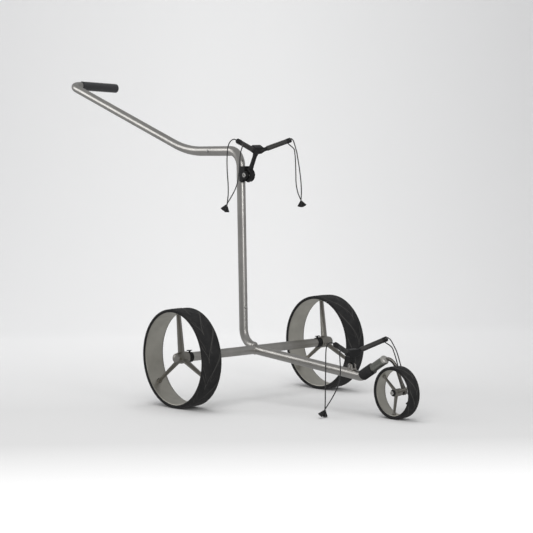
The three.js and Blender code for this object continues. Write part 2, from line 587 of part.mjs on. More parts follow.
function addHandle() {
  const gripDirection = GRIP_END.clone().sub(HANDLE_CORNER).normalize();
  const length = GRIP_END.distanceTo(HANDLE_CORNER);
  const tubeEnd = HANDLE_CORNER.clone().addScaledVector(gripDirection, length - 15);
  const line = bentLine([vector(0, ARCH_END_Y + GAP, ARCH_Z), vector(0, HANDLE_BEND_Y, ARCH_Z), HANDLE_CORNER,
    tubeEnd], [{ radius: HANDLE_BEND_R, steps: 4 }, { radius: ELBOW_R, steps: 6 }]);
  const tube = swell(tubeAlong(line, TUBE_R - 0.1, TUBE_BORE_R), line,
    [...ramp(JOINT_SWELL, 1, 4), ...Array(7).fill(1)]);
  const spigotR = SPIGOT_R * JOINT_SWELL;
  const wallR = (TUBE_BORE_R + 1) * JOINT_SWELL;
  const spigot = sleeve([[ARCH_END_Y - 52, spigotR], [ARCH_END_Y + 1, spigotR], [ARCH_END_Y + 2, wallR],
    [ARCH_END_Y + 8, wallR]], SPIGOT_BORE_R * JOINT_SWELL);
  aim(spigot, vector(0, 0, ARCH_Z), vector(0, 1, 0));
  const buttonHole = drill(-30, 0, 4.9, 16).translate(0, HANDLE_BUTTON_Y + 2, ARCH_Z);
  add('handle_tube', cut(join(tube, spigot), buttonHole), satinMetal);
  add('handle_button', rod(-17.2, -11, 4.4, 16).translate(0, HANDLE_BUTTON_Y + 2, ARCH_Z), brightSteel);

  const bore = (TUBE_R + GAP) / Math.cos(Math.PI / 20);
  const grip = turned([[GRIP_START_X + GAP, bore], [GRIP_START_X + GAP, GRIP_R - 0.8],
    [GRIP_START_X + 1.2, GRIP_R], [length - 4, GRIP_R], [length - 1.2, GRIP_R - 1.4], [length, GRIP_R - 4.6],
    [length, 0], [length - 12, 0], [length - 12, bore], [GRIP_START_X + GAP, bore]], 20);
  add('grip', aim(grip, HANDLE_CORNER, gripDirection), gripFoam);
}

// ---- Elastic cords and their toggles --------------------------------------------------------------
// One cord passes through each arm's eye. Its rear and front strands are lists of offsets from the
// eye, and each ends at the apex of a conical toggle whose axis points along the last entry.

const CORD_ROUTES = {
  upper_right: {
    root: UPPER_ARM_ROOT, eye: UPPER_EYE, side: -1,
    rear: [[-2.5, 7.4, 4.5], [-5.7, 14, 6.5], [-10.1, 20.4, 3.9], [-14.6, 25.8, -4.8],
      [-17.3, 29, -17.3], [-18.6, 30.5, -33.1], [-19.4, 31.7, -59.5], [-19.2, 31.4, -88.9],
      [-18.1, 30, -124.2], [-17.9, 30.6, -153.6], [-20.9, 33.5, -187.7]],
    front: [[2.5, -7.4, -4.5], [3.7, -11.8, -9.1], [3.1, -12.9, -14.6], [1.8, -12, -20.3],
      [0.8, -10.8, -24.6], [0.3, -10, -27.8], [-0.9, -6.8, -45.3], [-1.9, -5.2, -65.7],
      [-3.7, -3.9, -89.1], [-6.5, -1.6, -113.9], [-11.4, 5.1, -138.8], [-19.2, 15.3, -162.1],
      [-30.1, 24.4, -184.5]],
    rearToggle: [0.01, 0.09, -1], frontToggle: [-0.59, 0.23, -0.77],
  },
  upper_left: {
    root: UPPER_ARM_ROOT, eye: UPPER_EYE, side: 1,
    rear: [[2.3, 6.6, -2.8], [3.6, 9.1, -4.6], [5.4, 10.5, -7.1], [7.2, 10.4, -9.9],
      [8.8, 8.9, -12.5], [16.8, -3.2, -25.5], [17.4, -6.4, -41], [18.1, -7.7, -64.5],
      [18.8, -7.5, -94.5], [19.4, -7.8, -130.6], [23.7, -10.5, -157.8], [31.3, -15.9, -180.8]],
    front: [[-2.5, -7.4, 3.1], [-3.9, -11.4, 4.9], [-5, -16.2, 5.6], [-5.2, -20.9, 3.9],
      [-4.3, -24.2, 0.3], [-2.7, -25.2, -4.3], [9.6, -23.6, -34.5], [13.4, -21.7, -44.5],
      [16, -20.8, -54], [20.3, -23.3, -88.5], [23.3, -25.3, -126.1], [24, -25.7, -156.1],
      [22.3, -25.3, -180]],
    rearToggle: [0.43, -0.24, -0.87], frontToggle: [-0.29, -0.05, -0.96],
  },
  lower_right: {
    root: LOWER_ARM_ROOT, eye: LOWER_EYE, side: -1,
    rear: [[-3.4, 7, 4.5], [-6.5, 11.2, 6.3], [-11, 15.1, 5.5], [-15.6, 18.1, 0.5], [-18.7, 19.6, -7.9],
      [-20.2, 20, -19.2], [-21.7, 19.7, -44.3], [-22.4, 20, -72.3], [-23, 20.3, -100.3],
      [-23.5, 20.8, -127.4], [-24, 21.2, -154.4], [-25, 21.9, -180.9]],
    front: [[3.4, -7, -4.5], [5, -10.5, -8.8], [5.4, -11.2, -14.3], [5.1, -10.5, -20.3],
      [4.9, -9.6, -24.8], [4.9, -9.2, -28.1], [6.5, -8.7, -48.7], [6.4, -9.6, -72.4],
      [3.6, -8.5, -96.1], [-3.2, -5.1, -120.5], [-13.5, 0.6, -143], [-34.9, 13.4, -180.7]],
    rearToggle: [0.03, 0.08, -1], frontToggle: [-0.64, 0.27, -0.72],
  },
  lower_left: {
    root: LOWER_ARM_ROOT, eye: LOWER_EYE, side: 1,
    rear: [[3, 6.3, -2.8], [4.7, 8.6, -4.5], [6.8, 9.8, -6.8], [8.9, 9.5, -9.4], [10.8, 7.8, -11.6],
      [20.2, -6, -24], [22, -13, -38.5], [26.2, -21, -68.4], [29.8, -25.9, -95.6],
      [36, -32.1, -123], [44.1, -39.8, -148.9], [51.7, -46.3, -170.4]],
    front: [[-3.4, -7, 3.1], [-6.2, -13, 5.8], [-7.9, -18.5, 6.8], [-8.1, -24.2, 5.2],
      [-6.6, -28.5, 1.4], [-3.9, -30.3, -3.6], [10.6, -31.6, -27.5], [15.5, -31.6, -36.5],
      [18.9, -32.1, -45.4], [23.5, -36.8, -70.6], [29.1, -42.4, -96.4], [35.8, -48.1, -121.5],
      [40.8, -52.8, -145.9], [43.4, -56.3, -169.9]],
    rearToggle: [0.24, -0.09, -0.97], frontToggle: [-0.47, 0.1, -0.88],
  },
};

function toggleGeometry(apex, direction) {
  const cone = turned([[0, 0], [0, 2.4], [1.5, 2.8], [TOGGLE_L - 2, TOGGLE_R], [TOGGLE_L, TOGGLE_R], [TOGGLE_L, 0]], 10);
  return aim(cone, apex, direction);
}

function addCord(label, route) {
  const eye = vector(route.side * route.eye.x, route.eye.y, route.eye.z);
  const through = eyeDirection(route.root, route.eye, route.side);
  const rear = route.rear.map((offset) => vector(...offset).add(eye));
  const front = route.front.map((offset) => vector(...offset).add(eye));
  const mouths = [4, -4].map((distance) => eye.clone().addScaledVector(through, distance));
  const line = splineLine([...rear.slice().reverse(), ...mouths, ...front]);
  add(`${label}_cord`, tubeAlong(line, CORD_R, 0, 8), cordFabric);
  const ends = { rear: [rear.at(-1), route.rearToggle], front: [front.at(-1), route.frontToggle] };
  for (const [strand, [end, toward]] of Object.entries(ends)) {
    const direction = vector(...toward).normalize();
    const apex = end.clone().addScaledVector(direction, TOGGLE_GAP);
    add(`${label}_${strand}_toggle`, toggleGeometry(apex, direction), blackPlastic);
  }
}

// ---- Assembly -----------------------------------------------------------------------------------

addAxle();
addFrame();
for (const [side, label] of [[1, 'left'], [-1, 'right']]) {
  addAxleEnd(side, label);
  addWheel(side, label);
}
addFork();
addFrontWheel();
addUpright();
addBracket();
addUpperCradle();
addLowerCradle();
addHandle();
const rigid = new THREE.Box3().setFromObject(cart);
for (const [label, route] of Object.entries(CORD_ROUTES)) addCord(label, route);

// The origin is the middle of the footprint, on the floor, without the cords.
cart.position.y = -(rigid.min.y + rigid.max.y) / 2;

export default cart;
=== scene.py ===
"""Looks of a three-wheeled golf push cart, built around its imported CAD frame.

Lengths in the shape helpers are millimetres; everything reaches Blender in metres through MM.
"""
import math
import random

import bmesh
import bpy
from mathutils import Matrix, Quaternion, Vector


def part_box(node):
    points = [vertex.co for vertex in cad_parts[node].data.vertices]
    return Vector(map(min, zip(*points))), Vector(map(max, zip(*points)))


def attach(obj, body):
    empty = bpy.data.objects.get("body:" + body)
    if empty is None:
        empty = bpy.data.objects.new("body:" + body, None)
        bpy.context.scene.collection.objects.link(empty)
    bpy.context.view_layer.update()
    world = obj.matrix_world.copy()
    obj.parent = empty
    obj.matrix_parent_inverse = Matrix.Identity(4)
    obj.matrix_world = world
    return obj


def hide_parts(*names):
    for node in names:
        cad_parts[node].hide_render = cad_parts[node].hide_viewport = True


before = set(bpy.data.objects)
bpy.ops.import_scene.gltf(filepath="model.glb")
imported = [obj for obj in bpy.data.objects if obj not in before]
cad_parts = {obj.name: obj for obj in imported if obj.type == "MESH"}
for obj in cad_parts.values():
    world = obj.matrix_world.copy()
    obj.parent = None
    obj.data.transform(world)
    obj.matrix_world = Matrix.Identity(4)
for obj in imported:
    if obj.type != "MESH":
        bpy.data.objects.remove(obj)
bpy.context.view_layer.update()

MM = 0.001
TURN = 2 * math.pi
scene = bpy.context.scene
random.seed(7)


def middle(node):
    lo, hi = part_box(node)
    return (lo + hi) / 2


AXLE = middle("axle_tube") / MM
WHEEL_X = middle("left_tyre").x / MM
FRONT_HUB = middle("front_tyre") / MM


def at(x, y, z):
    """A point in millimetres, measured from the main axle's middle in y and from the floor in z."""
    return Vector((x, y + AXLE.y, z))


# ---- Camera ---------------------------------------------------------------------------------------

CAMERA_AT = (-3.50775, -4.364145, 0.78522)
SENSOR_WIDTH, FOCAL_LENGTH = 36, 123.74
AZIMUTH, ELEVATION, ROLL = (math.radians(a) for a in (-40.136, 4.071, -0.933))


def add_camera():
    lens = bpy.data.cameras.new("studio_camera")
    lens.sensor_width, lens.lens = SENSOR_WIDTH, FOCAL_LENGTH
    lens.clip_start, lens.clip_end = 0.1, 60
    camera = bpy.data.objects.new("studio_camera", lens)
    scene.collection.objects.link(camera)
    back = Vector((math.sin(AZIMUTH) * math.cos(ELEVATION), -math.cos(AZIMUTH) * math.cos(ELEVATION),
                   math.sin(ELEVATION)))
    level = Vector((math.cos(AZIMUTH), math.sin(AZIMUTH), 0))
    rise = back.cross(level)
    right = level * math.cos(ROLL) + rise * math.sin(ROLL)
    up = rise * math.cos(ROLL) - level * math.sin(ROLL)
    turn = Matrix((right, up, back)).transposed().to_4x4()
    camera.matrix_world = Matrix.Translation(CAMERA_AT) @ turn
    scene.camera = camera


add_camera()


# ---- Mesh helpers ---------------------------------------------------------------------------------

def mesh_piece(name, verts, faces, finish, sharp=32, recalculate=True):
    """A new object in metres from vertices in millimetres, smooth but for edges sharper than an angle."""
    data = bpy.data.meshes.new(name)
    data.from_pydata([tuple(v * MM) for v in verts], [], faces)
    if recalculate:
        work = bmesh.new()
        work.from_mesh(data)
        bmesh.ops.recalc_face_normals(work, faces=work.faces)
        work.to_mesh(data)
        work.free()
    data.materials.append(finish)
    obj = bpy.data.objects.new(name, data)
    scene.collection.objects.link(obj)
    shade(obj, sharp)
    return obj


def shade(obj, sharp):
    obj.data.shade_smooth()
    obj.data.set_sharp_from_angle(angle=math.radians(sharp))


def settle(obj, finish, sharp=32):
    """Turns an object's modifiers into its own mesh, with one finish."""
    graph = bpy.context.evaluated_depsgraph_get()
    data = bpy.data.meshes.new_from_object(obj.evaluated_get(graph))
    obj.modifiers.clear()
    obj.data = data
    data.materials.clear()
    data.materials.append(finish)
    shade(obj, sharp)
    return obj


def combine(obj, finish, operation, *others, sharp=32):
    """Cuts the others out of an object or joins them to it, and removes them."""
    for other in others:
        step = obj.modifiers.new("combine", "BOOLEAN")
        step.object, step.operation, step.solver = other, operation, "EXACT"
    settle(obj, finish, sharp)
    for other in others:
        bpy.data.objects.remove(other)
    return obj


def melt(obj, finish, voxel, rounds, sharp=60):
    """Fuses an object's overlapping shells into one cast-looking skin."""
    step = obj.modifiers.new("melt", "REMESH")
    step.mode, step.voxel_size, step.adaptivity = "VOXEL", voxel * MM, 0
    step = obj.modifiers.new("soften", "SMOOTH")
    step.factor, step.iterations = 0.5, rounds
    return settle(obj, finish, sharp)


def merged(*parts):
    """Several (vertices, faces) as one."""
    verts, faces = [], []
    for part_verts, part_faces in parts:
        start = len(verts)
        verts += part_verts
        faces += [[start + i for i in face] for face in part_faces]
    return verts, faces


def moved(part, matrix):
    return [matrix @ v for v in part[0]], part[1]


def aimed(start, direction, up=Vector((0, 0, 1))):
    """The matrix that moves the origin to a start and turns +X to a direction, with +Z near to up."""
    x = Vector(direction).normalized()
    y = Vector(up).cross(x).normalized()
    return Matrix.Translation(start) @ Matrix((x, y, x.cross(y))).transposed().to_4x4()


def eased(outline, radius, closed=False, steps=4):
    """Flat points with their corners rounded. A point may carry its own radius as a third number."""
    count = len(outline)
    made = []
    for i, point in enumerate(outline):
        here = Vector(point[:2])
        r = point[2] if len(point) > 2 else radius
        if r <= 0 or (not closed and i in (0, count - 1)):
            made.append(tuple(here))
            continue
        before = Vector(outline[i - 1][:2]) - here
        after = Vector(outline[(i + 1) % count][:2]) - here
        half = before.angle(after) / 2
        if half > math.radians(88):
            made.append(tuple(here))
            continue
        reach = min(r / math.tan(half), before.length * 0.48, after.length * 0.48)
        a, b = here + before.normalized() * reach, here + after.normalized() * reach
        for k in range(steps + 1):
            s = k / steps
            made.append(tuple(a * (1 - s) ** 2 + here * (2 * s * (1 - s)) + b * s * s))
    return made


def lathe(outline, sides=72, closed=False):
    """A turned piece about +X from an outline of (x, radius), with its ends on the axis unless closed."""
    verts, rings = [], []
    for x, r in outline:
        start = len(verts)
        if r < 1e-6:
            verts.append(Vector((x, 0, 0)))
            rings.append([start])
        else:
            verts += [Vector((x, r * math.cos(TURN * k / sides), r * math.sin(TURN * k / sides)))
                      for k in range(sides)]
            rings.append(list(range(start, start + sides)))
    faces = []
    for a, b in zip(rings, rings[1:] + ([rings[0]] if closed else [])):
        for k in range(sides):
            n = (k + 1) % sides
            corners = [a[k % len(a)], a[n % len(a)], b[n % len(b)], b[k % len(b)]]
            face = list(dict.fromkeys(corners))
            if len(face) > 2:
                faces.append(face)
    return verts, faces


def sleeve(outline, bore, sides=72, ease=0.3):
    """A turned ring: an outline of its outside, closed by a plain bore."""
    first, last = outline[0][0], outline[-1][0]
    section = [*outline, (last, bore, ease), (first, bore, ease)]
    return lathe(eased(section, ease, closed=True, steps=3), sides, closed=True)


def loft(rings, closed=False):
    """A skin over rings of points, capped at both ends unless it closes on itself."""
    count = len(rings[0])
    verts = [v for ring in rings for v in ring]
    faces = []
    for i in range(len(rings) - (0 if closed else 1)):
        a, b = i * count, (i + 1) % len(rings) * count
        for k in range(count):
            n = (k + 1) % count
            faces.append([a + k, a + n, b + n, b + k])
    if not closed:
        faces += [list(range(count))[::-1], list(range((len(rings) - 1) * count, len(rings) * count))]
    return verts, faces


def bent(corners, bends):
    """Points of straight runs joined by round bends, each given as (radius, steps)."""
    points = [corners[0].copy()]
    for (radius, steps), before, here, after in zip(bends, corners, corners[1:], corners[2:]):
        into, out = (here - before).normalized(), (after - here).normalized()
        angle = into.angle(out)
        start = here - into * radius * math.tan(angle / 2)
        axis = into.cross(out).normalized()
        centre = start + axis.cross(into) * radius
        points += [centre + Quaternion(axis, angle * k / steps) @ (start - centre) for k in range(steps + 1)]
    return points + [corners[-1].copy()]


def tangents(points):
    made = []
    for i, point in enumerate(points):
        before = (point - points[i - 1]).normalized() if i else Vector()
        after = (points[i + 1] - point).normalized() if i + 1 < len(points) else Vector()
        made.append((before + after).normalized())
    return made


def circle(centre, side, other, r, sides):
    """Points round a centre, in the plane of two unit directions."""
    return [centre + (side * math.cos(TURN * k / sides) + other * math.sin(TURN * k / sides)) * r
            for k in range(sides)]


def tube_rings(points, radii, sides):
    """Round sections along points, turned as little as possible from one to the next."""
    along = tangents(points)
    side = along[0].orthogonal().normalized()
    rings = []
    for i, point in enumerate(points):
        if i:
            side = along[i - 1].rotation_difference(along[i]) @ side
        other = along[i].cross(side)
        rings.append(circle(point, side, other, radii[i], sides))
    return rings


def rod_along(points, radii, sides=24):
    return loft(tube_rings(points, radii, sides))


def pipe(points, r, bore, sides=48, ease=0.5, factors=None):
    """An open tube wall along points, with eased ends. Factors widen it at each of its points."""
    first = (points[1] - points[0]).normalized() * ease
    last = (points[-1] - points[-2]).normalized() * ease
    line = [points[0], points[0] + first, *points[1:-1], points[-1] - last, points[-1]]
    factors = factors or [1] * len(points)
    grown = [factors[0], *factors, factors[-1]]
    ends = [ease, *[0] * len(points), ease]
    outer = tube_rings(line, [r * f - end for f, end in zip(grown, ends)], sides)
    inner = tube_rings(line, [bore * f + end * 0.6 for f, end in zip(grown, ends)], sides)
    return loft(outer + inner[::-1], closed=True)


def ramp(first, last, steps):
    """Factors that change softly over a bend of some steps, with one more at each end."""
    return [first, *[first + (last - first) * k / steps for k in range(steps + 1)], last]


def smooth_line(points, step):
    """A smooth curve through points, as points about a step apart."""
    made = []
    padded = [points[0] * 2 - points[1], *points, points[-1] * 2 - points[-2]]
    for a, b, c, d in zip(padded, padded[1:], padded[2:], padded[3:]):
        pieces = max(1, round((c - b).length / step))
        knots = [0.0]
        for p, q in ((a, b), (b, c), (c, d)):
            knots.append(knots[-1] + max(1e-4, (q - p).length) ** 0.5)
        for k in range(pieces):
            t = knots[1] + (knots[2] - knots[1]) * k / pieces
            mix = lambda p, q, s, e: p * ((e - t) / (e - s)) + q * ((t - s) / (e - s))
            ab, bc, cd = (mix(p, q, s, e) for p, q, s, e in zip((a, b, c), (b, c, d), knots, knots[1:]))
            abc, bcd = mix(ab, bc, knots[0], knots[2]), mix(bc, cd, knots[1], knots[3])
            made.append(mix(abc, bcd, knots[1], knots[2]))
    return made + [points[-1].copy()]


def block(x, y, z, ease, steps=2):
    """A box between pairs of limits in x, y and z, with its upright and its end edges eased."""
    flat = eased([(y[0], z[0]), (y[1], z[0]), (y[1], z[1]), (y[0], z[1])], ease, closed=True, steps=steps)
    centre = Vector(((y[0] + y[1]) / 2, (z[0] + z[1]) / 2))
    rings = []
    for px, shrink in ((x[0], ease * 0.7), (x[0] + ease * 0.3, ease * 0.2), (x[0] + ease, 0),
                       (x[1] - ease, 0), (x[1] - ease * 0.3, ease * 0.2), (x[1], ease * 0.7)):
        ring = []
        for u, w in flat:
            out = Vector((u, w)) - centre
            ring.append(Vector((px, centre.x + math.copysign(max(0, abs(out.x) - shrink), out.x),
                                centre.y + math.copysign(max(0, abs(out.y) - shrink), out.y))))
        rings.append(ring)
    return loft(rings)


def slab(outline, x0, x1, ease):
    """A plate between two x positions from a convex or nearly convex outline in (y, z), with eased faces."""
    centre = sum((Vector(p[:2]) for p in outline), Vector((0, 0))) / len(outline)
    count = len(outline)
    normals = []
    for i, p in enumerate(outline):
        edge = Vector(outline[(i + 1) % count][:2]) - Vector(outline[i - 1][:2])
        normal = Vector((edge.y, -edge.x)).normalized()
        normals.append(normal if normal.dot(Vector(p[:2]) - centre) > 0 else -normal)
    rings = []
    for x, shrink in ((x0, ease), (x0 + ease * 0.35, ease * 0.3), (x0 + ease, 0), (x1 - ease, 0),
                      (x1 - ease * 0.35, ease * 0.3), (x1, ease)):
        rings.append([Vector((x, p[0] - n.x * shrink, p[1] - n.y * shrink))
                      for p, n in zip(outline, normals)])
    return loft(rings)


def ride(obj, body, *nodes, slot):
    """Puts a piece on a CAD body, in place of CAD nodes. Its slot is not used."""
    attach(obj, body)
    if nodes:
        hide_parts(*nodes)
    return obj


def fitted(name, shape, place, finish, body, *nodes, slot, sharp=32):
    """A piece moved to its place and put on its body in one go."""
    return ride(mesh_piece(name, *moved(shape, place), finish, sharp=sharp), body, *nodes, slot=slot)


# ---- Materials --------------------------------------------------------------------------------------
# Every finish is mixed from noise in the object's own metres, so scales are in cycles per metre.

class Finish:
    """A principled material whose colour, roughness and relief come from procedural nodes."""

    def __init__(self, name, metallic=0.0, **sockets):
        self.material = bpy.data.materials.new(name)
        self.material.use_nodes = True
        self.tree = self.material.node_tree
        self.shader = self.tree.nodes["Principled BSDF"]
        self.shader.inputs["Metallic"].default_value = metallic
        for socket, value in sockets.items():
            self.shader.inputs[socket.replace("_", " ")].default_value = value
        self.place = self.node("ShaderNodeTexCoord").outputs["Object"]
        self.height = None

    def node(self, kind, **values):
        made = self.tree.nodes.new(kind)
        for key, value in values.items():
            setattr(made, key, value)
        return made

    def wire(self, source, target):
        self.tree.links.new(source, target)

    def stretched(self, scale):
        mapping = self.node("ShaderNodeMapping")
        mapping.inputs["Scale"].default_value = scale
        self.wire(self.place, mapping.inputs["Vector"])
        return mapping.outputs["Vector"]

    def noise(self, scale, detail=2.0, rough=0.5, vector=None):
        made = self.node("ShaderNodeTexNoise")
        made.inputs["Scale"].default_value = scale
        made.inputs["Detail"].default_value = detail
        made.inputs["Roughness"].default_value = rough
        self.wire(vector or self.place, made.inputs["Vector"])
        return made.outputs["Fac"]

    def cells(self, scale):
        made = self.node("ShaderNodeTexVoronoi", feature="F1")
        made.inputs["Scale"].default_value = scale
        self.wire(self.place, made.inputs["Vector"])
        return made.outputs["Distance"]

    def attribute(self, name):
        return self.node("ShaderNodeAttribute", attribute_name=name)

    def ranged(self, value, low, high, to_low, to_high):
        made = self.node("ShaderNodeMapRange")
        for socket, number in zip(("From Min", "From Max", "To Min", "To Max"), (low, high, to_low, to_high)):
            made.inputs[socket].default_value = number
        self.wire(value, made.inputs["Value"])
        return made.outputs["Result"]

    def maths(self, operation, a, b=None):
        made = self.node("ShaderNodeMath", operation=operation)
        for socket, value in zip(made.inputs, (a, b)):
            if value is None:
                continue
            if isinstance(value, (int, float)):
                socket.default_value = value
            else:
                self.wire(value, socket)
        return made.outputs["Value"]

    def mixed(self, factor, first, second):
        made = self.node("ShaderNodeMix", data_type="RGBA")
        self.wire(factor, made.inputs["Factor"])
        for socket, colour in ((made.inputs[6], first), (made.inputs[7], second)):
            if isinstance(colour, tuple):
                socket.default_value = (*colour, 1)
            else:
                self.wire(colour, socket)
        return made.outputs[2]

    def colour(self, source):
        self.wire(source, self.shader.inputs["Base Color"])

    def roughness(self, source):
        self.wire(source, self.shader.inputs["Roughness"])

    def relief(self, source, distance, strength=1.0):
        """Adds a layer of bump, in metres of height, over the layers before it."""
        made = self.node("ShaderNodeBump")
        made.inputs["Distance"].default_value = distance
        made.inputs["Strength"].default_value = strength
        self.wire(source, made.inputs["Height"])
        if self.height is not None:
            self.wire(self.height, made.inputs["Normal"])
        self.height = made.outputs["Normal"]
        self.wire(self.height, self.shader.inputs["Normal"])


def shaded(colour, factor):
    return tuple(min(1.0, c * factor) for c in colour)


def metal(name, tint, rough, grain=2200, grain_depth=1.2e-5, mottling=0.06, streaks=0.0):
    """Blasted or polished metal: fine grain, slow changes of tint and faint handling marks."""
    made = Finish(name, metallic=1.0)
    patches = made.noise(26, detail=3)
    blotches = made.ranged(patches, 0.35, 0.65, 0, 1)
    made.colour(made.mixed(blotches, shaded(tint, 1 - mottling), shaded(tint, 1 + mottling)))
    smears = made.noise(70, detail=4, rough=0.6)
    made.roughness(made.ranged(smears, 0.3, 0.7, rough * 0.86, rough * 1.16))
    made.relief(made.noise(grain, detail=1), grain_depth)
    if streaks:
        made.relief(made.noise(340, detail=3, vector=made.stretched((1, 14, 14))), streaks)
    return made.material


def moulded(name, tint, rough, grain=1500, depth=1.6e-5, wear=0.25):
    """Moulded plastic: an etched grain, a slow change of tint and paler scuffed spots."""
    made = Finish(name)
    made.shader.inputs["Specular IOR Level"].default_value = 0.36
    scuffs = made.ranged(made.noise(240, detail=5, rough=0.65), 0.6, 0.76, 0, wear)
    slow = made.ranged(made.noise(20), 0.35, 0.65, 0, 1)
    base = made.mixed(slow, shaded(tint, 0.86), shaded(tint, 1.14))
    made.colour(made.mixed(scuffs, base, shaded(tint, 2.6)))
    made.roughness(made.ranged(made.noise(130, detail=3), 0.3, 0.7, rough * 0.9, rough * 1.12))
    made.relief(made.cells(grain), depth)
    made.relief(made.noise(grain * 2.2), depth * 0.4)
    return made.material


def rubber(name, tint, dust_and_highlight_tint, rough=0.7, grain=900):
    """Rubber: a moulded skin with a faint pale dusting at random, and a painted highlight in the same pale
    tint where the groove attribute is high.
    """
    made = Finish(name)
    made.shader.inputs["Specular IOR Level"].default_value = 0.3
    film = made.ranged(made.noise(34, detail=5, rough=0.62), 0.42, 0.72, 0.0, 0.16)
    # Painted highlight: the groove attribute pales the tread along its grooves in the same tint, on top of
    # the random noise film, which is a real dusting.
    groove = made.attribute("groove").outputs["Fac"]
    dust_and_highlight_amount = made.maths("ADD", film, made.maths("MULTIPLY", groove, 0.85))
    made.colour(made.mixed(made.maths("MINIMUM", dust_and_highlight_amount, 1.0), tint, dust_and_highlight_tint))
    made.roughness(made.ranged(made.noise(150, detail=4), 0.3, 0.7, rough * 0.88, rough * 1.14))
    made.relief(made.noise(grain, detail=3), 3e-5)
    return made.material


def foam(name, tint):
    """Closed-cell foam: small open pits, their colour darkened as painted shade, over a soft, matt ground."""
    made = Finish(name, Sheen_Weight=0.25, Sheen_Roughness=0.5)
    pits = made.cells(1300)
    # Painted shade: the colour darkens towards the middle of each pit, where the relief dips.
    made.colour(made.mixed(made.ranged(pits, 0.12, 0.5, 0, 1), shaded(tint, 0.45), shaded(tint, 1.25)))
    made.roughness(made.ranged(made.noise(200), 0.3, 0.7, 0.84, 0.97))
    made.relief(pits, 1.4e-4)
    made.relief(made.noise(420, detail=3), 8e-5)
    return made.material


BRAID_PITCH = 1.1      # millimetres of cord for one carrier of the sheath
BRAID_CARRIERS = 8


def braid(name, tint, fleck):
    """A braided sheath: two families of helical carriers that cross, from the weave attribute, with painted
    shade in the gaps between them.
    """
    made = Finish(name, Sheen_Weight=0.2)
    split = made.node("ShaderNodeSeparateXYZ")
    made.wire(made.attribute("weave").outputs["Vector"], split.inputs["Vector"])
    turns = made.maths("MULTIPLY", split.outputs["X"], BRAID_CARRIERS * TURN)
    run = made.maths("MULTIPLY", split.outputs["Y"], TURN / BRAID_PITCH)
    one = made.maths("SINE", made.maths("ADD", turns, run))
    two = made.maths("SINE", made.maths("SUBTRACT", turns, run))
    ridge = made.maths("MAXIMUM", one, two)
    # Painted shade: where both carriers dip, between them, the colour darkens to about a third of the tint.
    under = made.mixed(made.ranged(ridge, -0.2, 0.9, 0, 1), shaded(tint, 0.35), tint)
    made.colour(made.mixed(made.ranged(made.noise(900, detail=3), 0.55, 0.7, 0, 0.7), under, fleck))
    made.roughness(made.ranged(made.noise(1500), 0.3, 0.7, 0.72, 0.92))
    made.relief(ridge, 1.2e-4)
    return made.material


SATIN = (0.50, 0.485, 0.46)
satin = metal("satin_metal", SATIN, 0.36)
spoke_metal = metal("spoke_metal", (0.36, 0.345, 0.315), 0.4, grain=1700, grain_depth=1.6e-5)
rim_metal = metal("rim_metal", (0.6, 0.58, 0.52), 0.42, grain=1500, grain_depth=1.5e-5)
polished = metal("polished_steel", (0.74, 0.73, 0.71), 0.2, grain=900, grain_depth=3e-6, streaks=1.5e-5)
ribbed = metal("ribbed_steel", (0.33, 0.335, 0.305), 0.46, grain=1800, grain_depth=1.5e-5)
alloy = metal("satin_alloy", (0.52, 0.505, 0.48), 0.33)
crown_metal = metal("crown_metal", (0.62, 0.605, 0.57), 0.42, grain=1600, grain_depth=1e-5)
fork_metal = metal("fork_metal", (0.2, 0.19, 0.175), 0.4)
cap_metal = metal("dull_cap_metal", (0.4, 0.385, 0.36), 0.42, grain=1800, grain_depth=1.4e-5)
button_metal = metal("button_metal", (0.55, 0.54, 0.52), 0.3, grain=1500, grain_depth=6e-6)
lug_metal = metal("lug_metal", (0.46, 0.44, 0.41), 0.48, grain=1200, grain_depth=2e-5, mottling=0.12)
weld_metal = metal("weld_metal", (0.52, 0.5, 0.47), 0.34, grain=900, grain_depth=2.5e-5, mottling=0.14)
black = moulded("black_plastic", (0.009, 0.009, 0.0095), 0.45)
arm_grey = moulded("arm_plastic", (0.034, 0.033, 0.032), 0.5, grain=1100, depth=2.4e-5, wear=0.35)
tyre_black = rubber("tyre_rubber", (0.013, 0.013, 0.0135), (0.075, 0.073, 0.07))
sleeve_black = rubber("sleeve_rubber", (0.022, 0.022, 0.023), (0.06, 0.06, 0.058), rough=0.62)
grip_black = foam("grip_foam", (0.02, 0.02, 0.022))
cord_black = braid("cord_sheath", (0.03, 0.03, 0.031), (0.07, 0.07, 0.07))


# ---- Elastic cords ----------------------------------------------------------------------------------
# A cord passes through the eye of each cradle arm. Each strand starts in the eye's middle and hangs to its
# toggle. The routes are the CAD routes' points, in metres, and a toggle's entry is the way its skirt points.

CORD_D = 0.0033
STRAND_STEP = 2.0          # millimetres between the rings of a strand
STRAND_SIDES = 16
TOGGLE_GAP = 1.1           # millimetres from a strand's end to its toggle's tip

